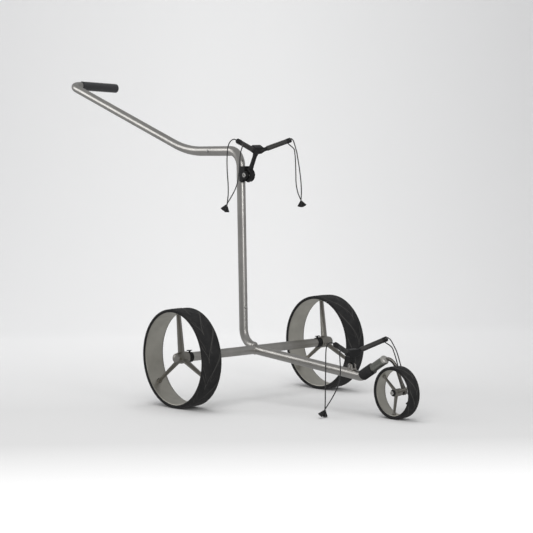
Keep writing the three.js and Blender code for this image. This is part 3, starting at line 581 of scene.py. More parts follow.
STRANDS = {
    "upper_right_rear": {
        "toggle": (0.01, 0.09, -1.0),
        "route": [(-0.0976, -0.20207, 0.7707), (-0.09872, -0.1988, 0.7727), (-0.1001, -0.19467, 0.7752),
                  (-0.1033, -0.18807, 0.7772), (-0.1077, -0.18167, 0.7746), (-0.1122, -0.17627, 0.7659),
                  (-0.1149, -0.17307, 0.7534), (-0.1162, -0.17157, 0.7376), (-0.117, -0.17037, 0.7112),
                  (-0.1168, -0.17067, 0.6818), (-0.1157, -0.17207, 0.6465), (-0.1155, -0.17147, 0.6171),
                  (-0.1185, -0.16857, 0.583)],
    },
    "upper_right_front": {
        "toggle": (-0.59, 0.23, -0.77),
        "route": [(-0.0976, -0.20207, 0.7707), (-0.09648, -0.20535, 0.7687), (-0.0951, -0.20947, 0.7662),
                  (-0.0939, -0.21388, 0.7616), (-0.0945, -0.21497, 0.7561), (-0.0958, -0.21407, 0.7504),
                  (-0.0968, -0.21288, 0.7461), (-0.0973, -0.21207, 0.7429), (-0.0985, -0.20888, 0.7254),
                  (-0.0995, -0.20727, 0.705), (-0.1013, -0.20597, 0.6816), (-0.1041, -0.20367, 0.6568),
                  (-0.109, -0.19697, 0.6319), (-0.1168, -0.18677, 0.6086), (-0.1277, -0.17767, 0.5862)],
    },
    "upper_left_rear": {
        "toggle": (0.43, -0.24, -0.87),
        "route": [(0.0976, -0.20207, 0.7707), (0.0988, -0.19857, 0.7692), (0.0999, -0.19547, 0.7679),
                  (0.1012, -0.19298, 0.7661), (0.103, -0.19157, 0.7636), (0.1048, -0.19167, 0.7608),
                  (0.1064, -0.19317, 0.7582), (0.1144, -0.20527, 0.7452), (0.115, -0.20847, 0.7297),
                  (0.1157, -0.20977, 0.7062), (0.1164, -0.20957, 0.6762), (0.117, -0.20988, 0.6401),
                  (0.1213, -0.21257, 0.6129), (0.1289, -0.21798, 0.5899)],
    },
    "upper_left_front": {
        "toggle": (-0.29, -0.05, -0.96),
        "route": [(0.0976, -0.20207, 0.7707), (0.0964, -0.20558, 0.7722), (0.0951, -0.20947, 0.7738),
                  (0.0937, -0.21347, 0.7756), (0.0926, -0.21827, 0.7763), (0.0924, -0.22298, 0.7746),
                  (0.0933, -0.22627, 0.771), (0.0949, -0.22727, 0.7664), (0.1072, -0.22567, 0.7362),
                  (0.111, -0.22377, 0.7262), (0.1136, -0.22287, 0.7167), (0.1179, -0.22537, 0.6822),
                  (0.1209, -0.22737, 0.6446), (0.1216, -0.22777, 0.6146), (0.1199, -0.22737, 0.5907)],
    },
    "lower_right_rear": {
        "toggle": (0.03, 0.08, -1.0),
        "route": [(-0.0947, -0.61077, 0.2021), (-0.09619, -0.60765, 0.2041), (-0.0981, -0.60377, 0.2066),
                  (-0.1012, -0.59958, 0.2084), (-0.1057, -0.59567, 0.2076), (-0.1103, -0.59267, 0.2026),
                  (-0.1134, -0.59118, 0.1942), (-0.1149, -0.59077, 0.1829), (-0.1164, -0.59108, 0.1578),
                  (-0.1171, -0.59077, 0.1298), (-0.1177, -0.59047, 0.1018), (-0.1182, -0.58997, 0.0747),
                  (-0.1187, -0.58958, 0.0477), (-0.1197, -0.58888, 0.0212)],
    },
    "lower_right_front": {
        "toggle": (-0.64, 0.27, -0.72),
        "route": [(-0.0947, -0.61077, 0.2021), (-0.09321, -0.6139, 0.2001), (-0.0913, -0.61777, 0.1976),
                  (-0.0897, -0.62128, 0.1933), (-0.0893, -0.62197, 0.1878), (-0.0896, -0.62128, 0.1818),
                  (-0.0898, -0.62038, 0.1773), (-0.0898, -0.61997, 0.174), (-0.0882, -0.61947, 0.1534),
                  (-0.0883, -0.62038, 0.1297), (-0.0911, -0.61928, 0.106), (-0.0979, -0.61587, 0.0816),
                  (-0.1082, -0.61017, 0.0591), (-0.1296, -0.59737, 0.0214)],
    },
    "lower_left_rear": {
        "toggle": (0.24, -0.09, -0.97),
        "route": [(0.0947, -0.61077, 0.2021), (0.0963, -0.60743, 0.2006), (0.0977, -0.60447, 0.1993),
                  (0.0994, -0.60217, 0.1976), (0.1015, -0.60097, 0.1953), (0.1036, -0.60128, 0.1927),
                  (0.1055, -0.60297, 0.1905), (0.1149, -0.61677, 0.1781), (0.1167, -0.62377, 0.1636),
                  (0.1209, -0.63177, 0.1337), (0.1245, -0.63667, 0.1065), (0.1307, -0.64287, 0.0791),
                  (0.1388, -0.65058, 0.0532), (0.1464, -0.65708, 0.0317)],
    },
    "lower_left_front": {
        "toggle": (-0.47, 0.1, -0.88),
        "route": [(0.0947, -0.61077, 0.2021), (0.0931, -0.61412, 0.2036), (0.0913, -0.61777, 0.2052),
                  (0.0885, -0.62377, 0.2079), (0.0868, -0.62928, 0.2089), (0.0866, -0.63497, 0.2073),
                  (0.0881, -0.63927, 0.2035), (0.0908, -0.64108, 0.1985), (0.1053, -0.64238, 0.1746),
                  (0.1102, -0.64238, 0.1656), (0.1136, -0.64287, 0.1567), (0.1182, -0.64758, 0.1315),
                  (0.1238, -0.65317, 0.1057), (0.1305, -0.65887, 0.0806), (0.1355, -0.66358, 0.0562),
                  (0.1381, -0.66708, 0.0322)],
    },
}


def strand_mesh(name, line):
    """A round tube whose weave attribute holds turns round the cord and millimetres along it."""
    verts, faces = loft(tube_rings(line, [CORD_D / 2 / MM] * len(line), STRAND_SIDES))
    obj = mesh_piece(name, verts, faces, cord_black, sharp=50, recalculate=False)
    travelled = [0.0]
    for a, b in zip(line, line[1:]):
        travelled.append(travelled[-1] + (b - a).length)
    weave = obj.data.attributes.new("weave", "FLOAT_VECTOR", "CORNER")
    for polygon in obj.data.polygons:
        corners = [obj.data.loops[i].vertex_index for i in polygon.loop_indices]
        turns = [v % STRAND_SIDES for v in corners]
        wraps = max(turns) - min(turns) > STRAND_SIDES / 2
        for i, vertex, turn in zip(polygon.loop_indices, corners, turns):
            turn += STRAND_SIDES if wraps and turn < STRAND_SIDES / 2 else 0
            weave.data[i].vector = (turn / STRAND_SIDES, travelled[vertex // STRAND_SIDES], 0)
    return obj


def toggle_mesh(name, apex, direction):
    """A hollow conical toggle: a collared neck, a flared skirt with a rounded lip and a recess under it."""
    outline = eased([(0, 0, 0), (0, 2.4), (1.5, 2.85), (2.3, 2.5), (4.2, 3.3), (11, 5.6), (16.2, 7.4),
                     (17.2, 7.55), (18, 7.0), (18, 4.6), (17.2, 4), (17.2, 0, 0)], 0.5)
    place = aimed(apex, direction, Vector((1, 0, 0)))
    return mesh_piece(name, *moved(lathe(outline, 40), place), black, sharp=45)


def add_cords():
    for label, strand in STRANDS.items():
        cradle, side, end = label.split("_")
        body = f"{cradle}_cradle"
        line = smooth_line([Vector(p) / MM for p in strand["route"]], STRAND_STEP)
        cord = strand_mesh(f"{label}_strand", line)
        toward = Vector(strand["toggle"]).normalized()
        knob = toggle_mesh(f"{label}_cone", line[-1] + toward * TOGGLE_GAP, toward)
        ride(cord, body, f"{cradle}_{side}_cord", slot="elastic_cord")
        ride(knob, body, f"{label}_toggle", slot="black_plastic")


add_cords()


# ---- Wheels -----------------------------------------------------------------------------------------

SPOKE_ANGLES = (95, 215, 335)          # degrees from forward, rising
FRONT_SPOKE_ANGLES = (20, 140, 260)


def mirrored(side):
    return Matrix.Diagonal((side, 1, 1, 1))


def swing(s):
    """0 to 1 with a soft start and end."""
    return 0.5 - 0.5 * math.cos(math.pi * min(1.0, max(0.0, s)))


def feather_groove(u, v, half, period, lines):
    """Depth, 0 to 1, of a tread whose long feather lines leave one edge, run with the wheel and meet short
    ones from the other edge in a V. u runs round the tyre and v across it."""
    depth = 0.0
    for start, length, v0, v1, width, weight in lines:
        first = math.floor((u - start * period - length) / period)
        for k in range(first, first + int(length / period) + 3):
            s = (u - start * period - k * period) / length
            if not -0.02 < s < 1.02:
                continue
            line = half * (v0 + (v1 - v0) * swing(s))
            slope = half * (v1 - v0) * math.pi / 2 * math.sin(math.pi * min(1, max(0, s))) / length
            away = abs(v - line) / math.hypot(1, slope) / width
            if away < 1:
                depth = max(depth, weight * (1 - away * away) ** 1.5)
    return depth


def tyre_mesh(name, place, half, radius, bore, face, flange, crown, repeats, across, around, depth, scale):
    """A tyre with a moulded tread and eased shoulders that wraps over both ends of its rim, with its groove
    depth kept as an attribute."""
    tread_half = half * 0.955
    profile = []
    for k in range(across + 1):
        x = tread_half * (2 * k / across - 1)
        profile.append((x, radius - crown * (x / tread_half) ** 2, 1.0))
    shoulder = [(half * 0.982, radius - crown * 1.3), (half, radius - crown * 1.3 - 1.1), (half, face + 0.6),
                (half - 0.5, face), (half - flange + 0.4, face), (half - flange, face + 0.5),
                (half - flange, bore)]
    profile += [(x, r, 0) for x, r in shoulder] + [(-x, r, 0) for x, r in reversed(shoulder)]
    period = TURN * radius / repeats
    long_run, short_run = 132 * scale, 60 * scale
    lines = [(0, long_run, 0.36, -1.04, 1.5 * scale ** 0.5, 1.0),
             (0, short_run, 0.36, 1.04, 1.4 * scale ** 0.5, 1.0),
             (0.3, long_run * 0.72, 0.02, -1.04, 1.1 * scale ** 0.5, 0.8),
             (0.42, short_run * 0.8, 0.62, 1.04, 1.1 * scale ** 0.5, 0.8)]
    verts, grooves = [], []
    for i in range(around):
        angle = TURN * i / around
        u = angle * radius
        for x, r, weight in profile:
            groove = feather_groove(u, x, half, period, lines) if weight else 0.0
            grooves.append(groove)
            r -= depth * groove
            verts.append(Vector((x, -r * math.cos(angle), r * math.sin(angle))))
    count = len(profile)
    faces = []
    for i in range(around):
        a, b = i * count, (i + 1) % around * count
        for k in range(count):
            n = (k + 1) % count
            faces.append([a + k, a + n, b + n, b + k])
    obj = mesh_piece(name, *moved((verts, faces), place), tyre_black, sharp=40)
    store = obj.data.attributes.new("groove", "FLOAT", "POINT")
    store.data.foreach_set("value", grooves)
    return obj


def spoke(angle, stations):
    """A spoke of softened diamond section along its angle, from stations of (radius, width, thickness)."""
    out = Vector((0, -math.cos(angle), math.sin(angle)))
    across = Vector((0, math.sin(angle), math.cos(angle)))
    sides, sharpness = 28, 1.3
    rings = []
    for r, wide, thick in stations:
        ring = []
        for k in range(sides):
            c, s = math.cos(TURN * k / sides), math.sin(TURN * k / sides)
            ring.append(out * r + Vector((math.copysign(abs(c) ** (2 / sharpness), c) * wide / 2, 0, 0))
                        + across * math.copysign(abs(s) ** (2 / sharpness), s) * thick / 2)
        rings.append(ring)
    return loft(rings)


def spider_mesh(name, place, hub, bore, angles, stations, voxel):
    """Hub and spokes fused into one casting."""
    parts = [sleeve(hub, bore, ease=0.8)]
    for degrees in angles:
        parts.append(spoke(math.radians(degrees), stations))
    obj = mesh_piece(name, *moved(merged(*parts), place), spoke_metal)
    return melt(obj, spoke_metal, voxel, 3)


def rim_mesh(name, place, half, outer, face, bore):
    """A barrel rim: a thin wall with rolled ends that the tyre's flanges close over."""
    lip = [(half - 0.6, bore - 0.2, 0.6), (half - 2.2, bore - 0.5, 0.8), (half - 3.6, bore, 0.8)]
    wall = [(-half, face, 0.4), (-half, outer, 0.4), (half, outer, 0.4), (half, face, 0.4), *lip,
            (-half + 3.6, bore, 0.8), (-half + 2.2, bore - 0.5, 0.8), (-half + 0.6, bore - 0.2, 0.6)]
    return mesh_piece(name, *moved(lathe(eased(wall, 0.4, closed=True), 160, closed=True), place), rim_metal)


def bearing_ring(x, width, bore, outer):
    """A shielded ball bearing: races proud of a recessed shield on both faces."""
    middle_out, middle_in = outer - 1.4, bore + 1.3
    half = width / 2
    outline = [(x - half, outer), (x + half, outer), (x + half, middle_out), (x + half - 0.5, middle_out),
               (x + half - 0.5, middle_in), (x + half, middle_in), (x + half, bore), (x - half, bore),
               (x - half, middle_in), (x - half + 0.5, middle_in), (x - half + 0.5, middle_out),
               (x - half, middle_out)]
    return lathe(eased(outline, 0.2, closed=True, steps=2), 48, closed=True)


def add_main_wheel(label, side):
    place = Matrix.Translation((side * WHEEL_X, AXLE.y, AXLE.z)) @ mirrored(side)
    wheel, axle = f"{label}_wheel", f"{label}_axle"
    tyre = tyre_mesh(f"{label}_tyre_tread", place, half=34, radius=145, bore=138.5, face=135.4, flange=2.3,
                     crown=0.8, repeats=11, across=62, around=440, depth=1.5, scale=1)
    ride(tyre, wheel, f"{label}_tyre", slot="tyre_rubber")
    rim = rim_mesh(f"{label}_rim_barrel", place, half=31.3, outer=138.2, face=135.4, bore=134.2)
    ride(rim, wheel, f"{label}_rim", slot="rim_alloy")
    stations = [(12.6, 25, 14), (26, 24.4, 13.4), (60, 22, 12), (95, 19.4, 10.4), (118, 17.6, 9.2),
                (124, 17.4, 9.4), (128, 18.2, 11), (131, 20, 14), (132.8, 22.4, 17.6), (133.7, 23.6, 19)]
    spider = spider_mesh(f"{label}_spoke_spider", place,
                         [(-19.5, 16.4), (-18.5, 17.4), (4, 17.2), (20, 14.4)], 11.3,
                         SPOKE_ANGLES, stations, 1.15)
    ride(spider, wheel, f"{label}_spider", slot="spoke_alloy")

    outline = [(13, 0), (13, 10.3), (13.6, 10.9), (20.3, 10.9), (20.3, 13.8), (20.6, 14.2), (24, 12.1, 6),
               (27.4, 8.2, 8), (29.4, 3.8, 6), (30, 0)]
    fitted(f"{label}_hub_dome", lathe(eased(outline, 0.3, steps=6), 72), place, cap_metal,
           wheel, f"{label}_hub_cap", slot="bright_steel", sharp=50)

    rings = merged(bearing_ring(-13.5, 7, 6.5, 11), bearing_ring(6.5, 7, 6.5, 11),
                   sleeve([(-9.6, 8.4), (2.6, 8.4)], 6.6, sides=40))
    fitted(f"{label}_bearing_pair", rings, place, polished, wheel, f"{label}_bearings", slot="bright_steel")

    shaft = [(-118, 0), (-118, 4.4, 0.6), (-116, 6, 0.6), (-104, 6, 0.3), (-103.4, 5.1, 0.3),
             (-100.6, 5.1, 0.3),
             (-100, 6, 0.3), (10.4, 6, 0.2), (10.4, 8.6, 0.4), (12.6, 8.6, 0.6), (12.6, 0)]
    fitted(f"{label}_axle_shaft", lathe(eased(shaft, 0.4), 48), place, polished,
           axle, f"{label}_axle_pin", slot="bright_steel")
    ring = sleeve([(-22.7, 13.2, 0.4), (-22.2, 14, 0.3), (-21.4, 14, 0.3), (-21.1, 13.4, 0.2),
                   (-20.8, 14, 0.2), (-20, 13.8, 0.4)], 6.05)
    fitted(f"{label}_axle_flange", ring, place, black, axle, slot="black_plastic")


TAB_X = 250            # millimetres from the axle's middle to each release tab


def add_axle_end(label, side):
    place = Matrix.Translation(AXLE) @ mirrored(side)
    stem_place = aimed(Vector((TAB_X, 0, 0)), (0, 0, 1), Vector((0, 1, 0)))
    stem_room = moved(lathe([(0, 0), (0, 3.5), (30, 3.5), (30, 0)], 32), stem_place)
    inner = mesh_piece(f"{label}_pin_socket", *moved(sleeve([(150, 10.9), (256.5, 10.9)], 6.5), place),
                       polished)
    drill = mesh_piece("stem_room", *moved(stem_room, place), polished)
    combine(inner, polished, "DIFFERENCE", drill)
    ride(inner, "frame", f"{label}_axle_socket", slot="bright_steel")

    ring = sleeve([(244.5, 14.7, 0.4), (245.3, 15.4, 0.4), (249, 15.4, 0.3), (249.5, 14.6, 0.3),
                   (251.5, 14.6, 0.3), (252, 15.4, 0.3), (256.5, 15.4, 0.5)], 13.55, sides=96)
    collar = mesh_piece(f"{label}_axle_collar", *moved(ring, place), black)
    slot_room = mesh_piece("slot_room", *moved(block((240, 254.4), (-4, 4), (10, 20), 0.4), place), black)
    combine(collar, black, "DIFFERENCE", slot_room)
    ride(collar, "frame", f"{label}_collar", slot="black_plastic")

    lever = [block((243, 259), (-3.5, 3.5), (18.2, 20.4), 0.7)]
    lever += [block((252.2 + 1.8 * k, 253.2 + 1.8 * k), (-3.1, 3.1), (20, 20.8), 0.3) for k in range(4)]
    stem = moved(lathe(eased([(9, 0), (9, 3), (19, 3), (19, 0)], 0.5), 32), stem_place)
    fitted(f"{label}_tab_lever", merged(*lever, stem), place, black,
           f"{label}_tab", f"{label}_release_tab", slot="black_plastic")


def add_front_wheel():
    place = Matrix.Translation(FRONT_HUB)
    tyre = tyre_mesh("front_tyre_tread", place, half=18.7, radius=73, bore=66.4, face=63.8, flange=2.2,
                     crown=0.7, repeats=10, across=40, around=300, depth=1.0, scale=0.55)
    ride(tyre, "front_wheel", "front_tyre", slot="tyre_rubber")
    rim = rim_mesh("front_rim_barrel", place, half=16.1, outer=66.1, face=63.8, bore=62.6)
    ride(rim, "front_wheel", "front_rim", slot="rim_alloy")
    stations = [(9, 14, 10), (20, 13.2, 9.4), (40, 11.4, 8), (52, 10.2, 7.1), (56, 10.4, 7.8), (59, 12, 10),
                (61, 13.6, 12.6), (62.1, 14.6, 13.8)]
    spider = spider_mesh("front_spoke_spider", place, [(-12, 9.8), (-11, 10.6), (13, 10.6), (15, 9.6)], 7.4,
                         FRONT_SPOKE_ANGLES, stations, 0.8)
    ride(spider, "front_wheel", "front_spider", slot="spoke_alloy")
    shell = [(-15, 8.6, 0.4), (-14.3, 9.4, 0.4), (-12.8, 9.6, 0.3), (-12.4, 9.6, 0.1), (-12.4, 7, 0.1),
             (-9, 7, 0.2), (-9, 5.6, 0.2), (9, 5.6, 0.2), (9, 7, 0.2), (15.6, 7, 0.3)]
    fitted("front_bearing_pair", sleeve(shell, 4.5, sides=64), place, black,
           "front_wheel", "front_bearings", slot="black_plastic")

    head = [(-20, 0), (-20, 4.8, 0.8), (-19, 5.8, 0.8), (-15.4, 5.8, 0.3), (-15.4, 4, 0.2), (39, 4, 0.3),
            (40, 3.2, 0.3), (40, 0)]
    bolt = mesh_piece("front_bolt", *moved(lathe(eased(head, 0.3), 48), place), polished)
    hexagon = lathe([(-24, 0), (-24, 2.6), (-17.6, 2.6), (-17.6, 0)], 6)
    combine(bolt, polished, "DIFFERENCE", mesh_piece("hex_room", *moved(hexagon, place), polished))
    ride(bolt, "fork", "front_axle_bolt", slot="bright_steel")
    nut = sleeve([(34.4, 6.8, 0.3), (38.8, 6.4, 0.5)], 4.5, sides=6)
    fitted("front_nut", nut, place, polished, "fork", "front_axle_nut", slot="bright_steel")


for wheel_label, wheel_side in (("left", 1), ("right", -1)):
    add_main_wheel(wheel_label, wheel_side)
    add_axle_end(wheel_label, wheel_side)
add_front_wheel()


# ---- Welded frame ---------------------------------------------------------------------------------

AXLE_TUBE = (13.25, 11.25)      # outer and inner radius
MAIN_TUBE = (14, 12)
ROOT_TUBE = (13, 11)
AXLE_HALF = 256.5
AXLE_ROOM = 13.28               # radius cut out of the tubes that meet the axle
NOSE = at(0, -466, 105.8)
NOSE_RISE = math.radians(29.7)
NOSE_AXIS = Vector((0, -math.cos(NOSE_RISE), math.sin(NOSE_RISE)))
MAIN_START = at(0, -6, 144.5)
MAIN_AXIS = (NOSE - MAIN_START).normalized()
X_AXIS, Y_AXIS, Z_AXIS = Vector((1, 0, 0)), Vector((0, 1, 0)), Vector((0, 0, 1))


def cutter(start, direction, r, length, sides=64):
    """A plain round rod that is only ever used to cut."""
    return mesh_piece("cutter", *moved(lathe([(0, 0), (0, r), (length, r), (length, 0)], sides),
                                       aimed(start, direction, direction.orthogonal())), satin)


WELD_SIDES = 10


def weld_mesh(name, points, size, closed=True):
    """A laid bead: a rounded bar along points, swelling and shrinking where the torch stepped."""
    count = len(points)
    rings = []
    for i, point in enumerate(points):
        before, after = points[i - 1], points[(i + 1) % count]
        if not closed:
            before, after = points[max(0, i - 1)], points[min(count - 1, i + 1)]
        along = (after - before).normalized()
        side = along.orthogonal().normalized() if abs(along.x) > 0.9 else along.cross(X_AXIS).normalized()
        other = along.cross(side)
        step = abs(math.sin(i * math.pi / 4.0))
        r = size * (0.86 + 0.2 * step + 0.06 * random.random())
        if not closed:
            r *= min(1.0, 0.35 + 0.3 * min(i, count - 1 - i))
        rings.append(circle(point, side, other, r, WELD_SIDES))
    return mesh_piece(name, *loft(rings, closed=closed), weld_metal, sharp=70)


def meeting_line(start, axis, r, other_r, sides=96):
    """Where a tube leaving the axle breaks its surface, as points round the tube."""
    side = X_AXIS
    up = axis.cross(side)
    points = []
    for k in range(sides):
        spoke_out = (side * math.cos(TURN * k / sides) + up * math.sin(TURN * k / sides)) * r
        base = start + spoke_out - AXLE
        a = axis.y ** 2 + axis.z ** 2
        b = 2 * (base.y * axis.y + base.z * axis.z)
        c = base.y ** 2 + base.z ** 2 - other_r ** 2
        root = b * b - 4 * a * c
        points.append(start + spoke_out + axis * ((-b + math.sqrt(max(0, root))) / (2 * a)))
    return points


def add_frame():
    ends = [AXLE - X_AXIS * AXLE_HALF, AXLE + X_AXIS * AXLE_HALF]
    axle = mesh_piece("axle_cross_tube", *pipe(ends, *AXLE_TUBE, sides=64), satin)
    drills = [cutter(AXLE + X_AXIS * x, Z_AXIS, 3.5, 30, 32) for x in (-TAB_X, TAB_X)]
    combine(axle, satin, "DIFFERENCE", *drills)
    ride(axle, "frame", "axle_tube", slot="satin_steel")

    line = bent([MAIN_START, NOSE, NOSE + NOSE_AXIS * 52], [(24, 14)])
    main = mesh_piece("main_bent_tube", *pipe(line, *MAIN_TUBE, sides=64), satin)
    combine(main, satin, "DIFFERENCE", cutter(AXLE - X_AXIS * 60, X_AXIS, AXLE_ROOM, 120, 96))
    ride(main, "frame", "main_tube", slot="satin_steel")

    root, corner, top = at(0, 3.5, 155), at(0, 54, 155), at(0, 54, 234)
    socket = mesh_piece("upright_root", *pipe(bent([root, corner, top], [(49.5, 22)]), *ROOT_TUBE, sides=64),
                        satin)
    spigot = sleeve([(220, 11.4), (232, 11.4), (233, 10.6), (288, 10.6, 1.2)], 8.8, sides=64)
    spigot_obj = mesh_piece("spigot", *moved(spigot, aimed(at(0, 54, 0), Z_AXIS, Y_AXIS)), satin)
    combine(socket, satin, "UNION", spigot_obj)
    combine(socket, satin, "DIFFERENCE", cutter(AXLE - X_AXIS * 60, X_AXIS, AXLE_ROOM, 120, 96),
            cutter(at(0, 54, 270), -Y_AXIS, 5.2, 30, 48))
    ride(socket, "frame", "upright_socket", slot="satin_steel")
    dome = [(4.2 * math.sin(a * math.pi / 20), 12.95 * math.cos(a * math.pi / 20)) for a in range(10)]
    fitted("root_end_cap", lathe([(-2, 0), (-2, 12.95), *dome, (4.2, 0)], 64),
           aimed(at(0, 3.7, 155), -Y_AXIS), satin, "frame", slot="satin_steel", sharp=50)

    bead = weld_mesh("main_tube_weld", meeting_line(MAIN_START, MAIN_AXIS, MAIN_TUBE[0], AXLE_TUBE[0]), 1.7)
    ride(bead, "frame", slot="satin_steel")
    lap = meeting_line(at(0, 0, 155), Y_AXIS, ROOT_TUBE[0], AXLE_TUBE[0], 160)
    lap = [p for p in lap if p.z < AXLE.z + 12.2]
    lowest = max(range(len(lap)), key=lambda i: (lap[i] - lap[i - 1]).length)
    bead = weld_mesh("upright_root_weld", lap[lowest:] + lap[:lowest], 1.6, closed=False)
    ride(bead, "frame", slot="satin_steel")

    ribs = [(6.5, 15, 0.4)]
    for k in range(17):
        start = 8.2 + 2.68 * k
        ribs += [(start, 15.2, 0.3), (start + 0.5, 15.8, 0.3), (start + 1.7, 15.8, 0.3),
                 (start + 2.2, 15.2, 0.3)]
    ribs.append((54.5, 15, 0.4))
    fitted("nose_sleeve", sleeve(ribs, 14.3, sides=80), aimed(NOSE, NOSE_AXIS), sleeve_black,
           "frame", "front_sleeve", slot="sleeve_rubber", sharp=50)


# ---- Front fork -------------------------------------------------------------------------------------

def on_nose(distance):
    return NOSE + NOSE_AXIS * distance


def add_fork():
    place = aimed(NOSE, NOSE_AXIS)
    outline = [(14, 11.0), (15, 11.5), (54.6, 11.5), (55, 12.5)]
    for k in range(31):
        start = 56.2 + 1.55 * k
        outline += [(start, 12.15, 0.2), (start + 0.35, 12.6, 0.2), (start + 0.95, 12.6, 0.2),
                    (start + 1.25, 12.15, 0.2)]
    outline += [(105.4, 12.4)]
    fitted("fork_ribbed_tube", sleeve(outline, 9.8, sides=80), place, ribbed,
           "fork", "fork_tube", slot="ribbed_steel", sharp=50)

    crown = [(88, 0), (88, 9.4, 0.4), (105.8, 9.4, 0.1), (105.8, 13, 0.3), (106.5, 13.4, 0.3),
             (109.6, 13.4, 0.8), (110.1, 12.7, 0.3), (112.6, 11.4, 1), (114, 8, 1), (114, 0)]
    cap = mesh_piece("fork_crown", *moved(lathe(eased(crown, 0.3, steps=5), 80), place), crown_metal,
                     sharp=40)
    reach = [on_nose(107), at(10, -566, 162), at(19, -572, 155), at(25.5, -578.5, 141.5),
             at(28, -589.5, 114.5), at(28, -606.7, 73)]
    line = smooth_line(reach, 3)
    arm = rod_along(line, [5] * len(line), 36)
    eye = moved(sleeve([(-5, 9.2, 0.6), (-4.4, 10, 0.6), (4.4, 10, 0.6), (5, 9.2, 0.6)], 4.5, sides=64),
                Matrix.Translation((28, FRONT_HUB.y, FRONT_HUB.z)))
    leg = melt(mesh_piece("fork_leg", *merged(arm, eye), fork_metal), fork_metal, 0.75, 2)
    combine(leg, fork_metal, "DIFFERENCE",
            cutter(Vector((10, FRONT_HUB.y, FRONT_HUB.z)), X_AXIS, 4.5, 40, 48))
    ride(cap, "fork", "fork_cap", slot="satin_steel")
    ride(leg, "fork", "fork_arm", slot="satin_steel")


# ---- Upright and its bracket -------------------------------------------------------------------------

PIVOT = at(0, 17, 670)
JOINT_SWELL = 1.14        # the tubes swell where the handle plugs in


def snap_button(name, start, direction, proud, body, node):
    """A rounded snap button standing out of a tube."""
    dome = [(proud - 1.4 + 1.4 * math.sin(a * math.pi / 16), 4.2 * math.cos(a * math.pi / 16))
            for a in range(8)]
    outline = [(11.2, 0), (11.2, 4.4), (14, 4.4), *dome, (proud, 0)]
    up = Z_AXIS if abs(direction.z) < 0.9 else Y_AXIS
    fitted(name, lathe(outline, 40), aimed(start, direction, up), button_metal,
           body, node, slot="bright_steel", sharp=50)


def socket_bolt(name, outline, socket_r, depth, start, body, node):
    """A bolt about +X whose low-x head has a hexagon socket."""
    bolt = mesh_piece(name, *moved(lathe(eased(outline, 0.35), 56), Matrix.Translation(start)), polished)
    head = outline[0][0]
    room = lathe([(head - 2, 0), (head - 2, socket_r), (head + depth, socket_r), (head + depth, 0)], 6)
    combine(bolt, polished, "DIFFERENCE", mesh_piece("hex_room", *moved(room, Matrix.Translation(start)),
                                                     polished))
    ride(bolt, body, node, slot="bright_steel")


def arc(centre, r, first, last, steps):
    return [(centre[0] + r * math.cos(first + (last - first) * k / steps),
             centre[1] + r * math.sin(first + (last - first) * k / steps)) for k in range(steps + 1)]


def add_upright():
    line = bent([at(0, 54, 234.3), at(0, 54, 742), at(0, 182, 742)], [(46, 22)])
    swollen = ramp(1, JOINT_SWELL, 22)
    tube = mesh_piece("upright_bent_tube", *pipe(line, 13, 11, sides=64, factors=swollen), alloy)
    combine(tube, alloy, "DIFFERENCE", cutter(at(0, 54, 270), -Y_AXIS, 4.9, 30, 48))
    ride(tube, "upright", "upright_tube", slot="satin_alloy")
    snap_button("upright_snap_button", at(0, 54, 270), -Y_AXIS, 16, "upright_snap", "upright_button")

    y, z = PIVOT.y, PIVOT.z
    rear = y + 28
    outline = [(rear, 696), (y + 3, 696), *arc((y, z), 11.8, math.pi * 0.42, math.pi * 1.42, 26),
               (y + 10, 652), *arc((y + 16, 653), 6, math.pi, math.pi * 1.6, 10), (rear, 652)]
    cheeks = []
    for side in (-1, 1):
        low, high = sorted((side * 8.4, side * 15))
        cheeks.append(slab(outline, low, high, 0.9))
    web = block((-15, 15), (rear - 11, rear), (652, 695), 1.2)
    boss = sleeve([(-16.6, 10.6, 0.5), (-14, 10.9, 0.2)], 7.9, sides=64)
    bracket = mesh_piece("cradle_clevis", *cheeks[0], black)
    combine(bracket, black, "UNION", mesh_piece("cheek", *cheeks[1], black), mesh_piece("web", *web, black),
            mesh_piece("boss", *moved(boss, Matrix.Translation(PIVOT)), black))
    combine(bracket, black, "DIFFERENCE", cutter(at(0, 54, 600), Z_AXIS, 13.1, 140),
            cutter(PIVOT - X_AXIS * 8.4, X_AXIS, 21.3, 16.8, 96),
            cutter(PIVOT - X_AXIS * 40, X_AXIS, 4.5, 80))
    ride(bracket, "upright", "cradle_bracket", slot="black_plastic")
    outline = [(-20.5, 0), (-20.5, 6.2), (-19.4, 7.2), (-15.3, 7.2), (-15.3, 4), (15.3, 4), (15.3, 6.8),
               (20, 6.4), (20, 0)]
    socket_bolt("cradle_socket_bolt", outline, 3.4, 3.2, PIVOT, "upright", "cradle_pivot_bolt")


# ---- Bag cradles ------------------------------------------------------------------------------------

def cradle_facing(pivot, yoke):
    """Local frame of a cradle: X across, Z from its pivot to its yoke."""
    rise = (yoke - pivot).normalized()
    return Matrix((X_AXIS, rise.cross(X_AXIS), rise)).transposed().to_4x4()


def bar_between(facing, pivot, limits, taper):
    """A bar along a cradle's rise with rounded edges, from stations of (distance, half width, half depth)."""
    rings = []
    for distance, half_w, half_d in limits:
        corners = [(half_w, -half_d), (half_w, half_d), (-half_w, half_d), (-half_w, -half_d)]
        flat = eased(corners, taper, closed=True, steps=5)
        rings.append([Vector((u, w, distance)) for u, w in flat])
    return moved(loft(rings), Matrix.Translation(pivot) @ facing)


EYE_TILT = {"right": math.radians(30), "left": math.radians(-22)}


